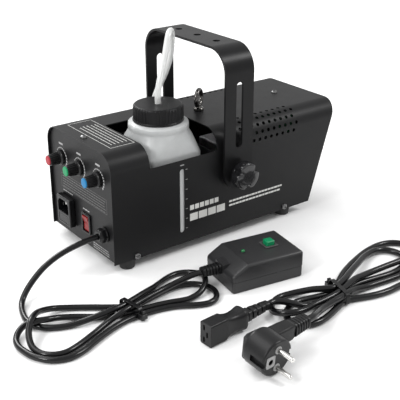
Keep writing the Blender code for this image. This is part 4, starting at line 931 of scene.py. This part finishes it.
def panel_details():
    """The inlet's pins and the gland nut of the remote's lead."""
    pins = [moved(prism(round_rect(1.0, 2.0, 0.5, 2), -15, -4), (x, y, 0))
            for x, y in ((-7.0, -2.0), (7.0, -2.0), (0, 2.0))]
    pins = as_object(joined(*pins), "inlet_pins", M["pin_nickel"], (-160.5, 32.7, 48.6), TO_REAR)
    settle(pins, CASE)
    shell = loft([(nut(8.7), 0.0), (nut(8.8), 0.4), (nut(8.8), 1.6), (nut(8.2), 1.9), (nut(8.6, 0.9), 2.3),
                  (nut(8.6, 0.9), 6.6), (nut(7.9, 0.4), 7.8), (nut(6.9), 9.3), (nut(6.2), 10.1),
                  (nut(4.4), 10.2), (nut(3.6), 9.8), (nut(3.5), -8), (nut(5.6), -8), (nut(5.6), 0)],
                 cap=False)
    shell = as_object(shell, "gland_nut", M["black_plastic"], (KNOB_X, -48, 41), TO_REAR)
    settle(shell, CASE, ("cable_gland",))


def remote_details():
    """The frame round the remote's button, and its lamp with a collar."""
    rim = band(round_rect(8.0, 8.0, 0.6, 2), round_rect(5.35, 5.35, 0.5, 2), 0.02, 1.2)
    rim = as_object(rim, "button_frame", M["frame_grey"], on_remote(62, 31, 31), TURN_REMOTE)
    settle(rim, CASE, edge=0.3)
    lamp_place = on_remote(28.5, 29, 31)
    lens = lathe([(2.3, -3), (2.3, 1.0), (2.0, 1.9), (1.3, 2.4), (0.4, 2.6)], 32)
    lens = as_object(lens, "remote_led", M["lamp_green"], lamp_place)
    settle(lens, CASE, ("remote_lamp",))
    collar = band(circle(3.4, 32), circle(2.38, 32), 0.02, 0.6)
    settle(as_object(collar, "remote_led_collar", M["remote_abs"], lamp_place), CASE)


def case_prints(marks):
    """Strokes and bars that stand in for the prints; the given marks go on the rear panel."""
    marks += text_rows(-44.0, 62.4, 22.0, 1, 2.9, 1.2, 1.0)
    marks += text_rows(0.5, 54.6, 14.0, 1, 2.9, 1.4, 2.0)
    small = frame_lines(-46.9, 66.4, 53.6, 83.6, 0.35) + text_rows(-44.0, 80.2, 95.0, 5, 3.2, 0.8)
    panel, rear = (PANEL_X, 0, 0), (-1, 0, 0)
    printed("panel_small_print", small, "print_dim", panel, rear)
    marks += text_rows(20.0, 20.0, 34.0, 3, 2.8, 1.0, 4.0)
    printed("panel_print", marks, "print_grey", panel, rear)
    rows = [[(y, x) for x, y in shape] for shape in text_rows(-38, -115.0, 70, 5, 4.8, 0.8, 5.0)]
    top = frame_lines(-140, -46, -110, 47, 0.5) + rows
    printed("top_print", top, "print_white", (0, 0, HOOD_TOP), (0, 0, 1))
    flank, outward = (0, -HALF_WIDTH, 0), (0, -1, 0)
    side = [bar(x, 53.5, 5.6, 6.0) for x in (-51, -44, -37, -30, -23, -16)]
    side += [bar(x, 41.5, width, 9.0) for x, width in ((-48.5, 11), (-35.5, 12), (-22.5, 11), (-9.5, 12))]
    side += text_rows(3, 45.0, 82, 2, 5.0, 2.2, 7.0)
    printed("side_print", side, "print_white", flank, outward)
    scale = [bar(SIGHT_X, 108.2, 5.0, 1.2)] + [bar(-58.4, 30 + 12 * i, 2.6, 0.6) for i in range(7)]
    printed("window_print", scale, "print_grey", flank, outward)


hood()
bracket()
remote_shells()
feet()
eye()
clamp_knobs()
cap_and_tube()
case_prints(dial_knobs())
strip = block((-69.0, -68.7, 24.0), (-59.6, -68.2, 105.0))   # the tank's wall, as seen in the slot
settle(as_object(strip, "sight_strip", M["sight_strip"]), CASE)
screws()
panel_details()
remote_details()

# Room
room = finish((0.86, 0.86, 0.86), 0.75, vary=0.01, grain=40, bump=0.0, spec=0.1, worn=0.02,
              name="floor_paper")
ground = as_object(prism(round_rect(4000, 4000, 200, 6), -20, 0.0), "floor", room, -SHIFT)
world = bpy.data.worlds.new("studio")
world.use_nodes = True
backdrop = world.node_tree.nodes["Background"]
backdrop.inputs["Color"].default_value = (1.0, 1.0, 1.0, 1.0)
backdrop.inputs["Strength"].default_value = 0.74
scene.world = world


def soft_light(name, place, target, size, power):
    data = bpy.data.lights.new(name, "AREA")
    data.shape = "DISK"
    data.size = size
    data.energy = power
    light = bpy.data.objects.new(name, data)
    light.location = place
    light.rotation_euler = (Vector(target) - Vector(place)).to_track_quat("-Z", "Y").to_euler()
    scene.collection.objects.link(light)


soft_light("key", (-0.9, 0.5, 1.7), (0, 0, 0.05), 1.4, 13.0)
soft_light("back", (-0.1, 1.5, 1.3), (0, 0, 0.05), 0.8, 18.0)
soft_light("fill", (-1.7, -0.3, 1.1), (-0.1, -0.1, 0.05), 0.5, 15.0)
soft_light("edge", (1.1, -0.85, 1.45), (0, 0, 0.1), 0.5, 14.0)
scene.view_settings.view_transform = "Standard"
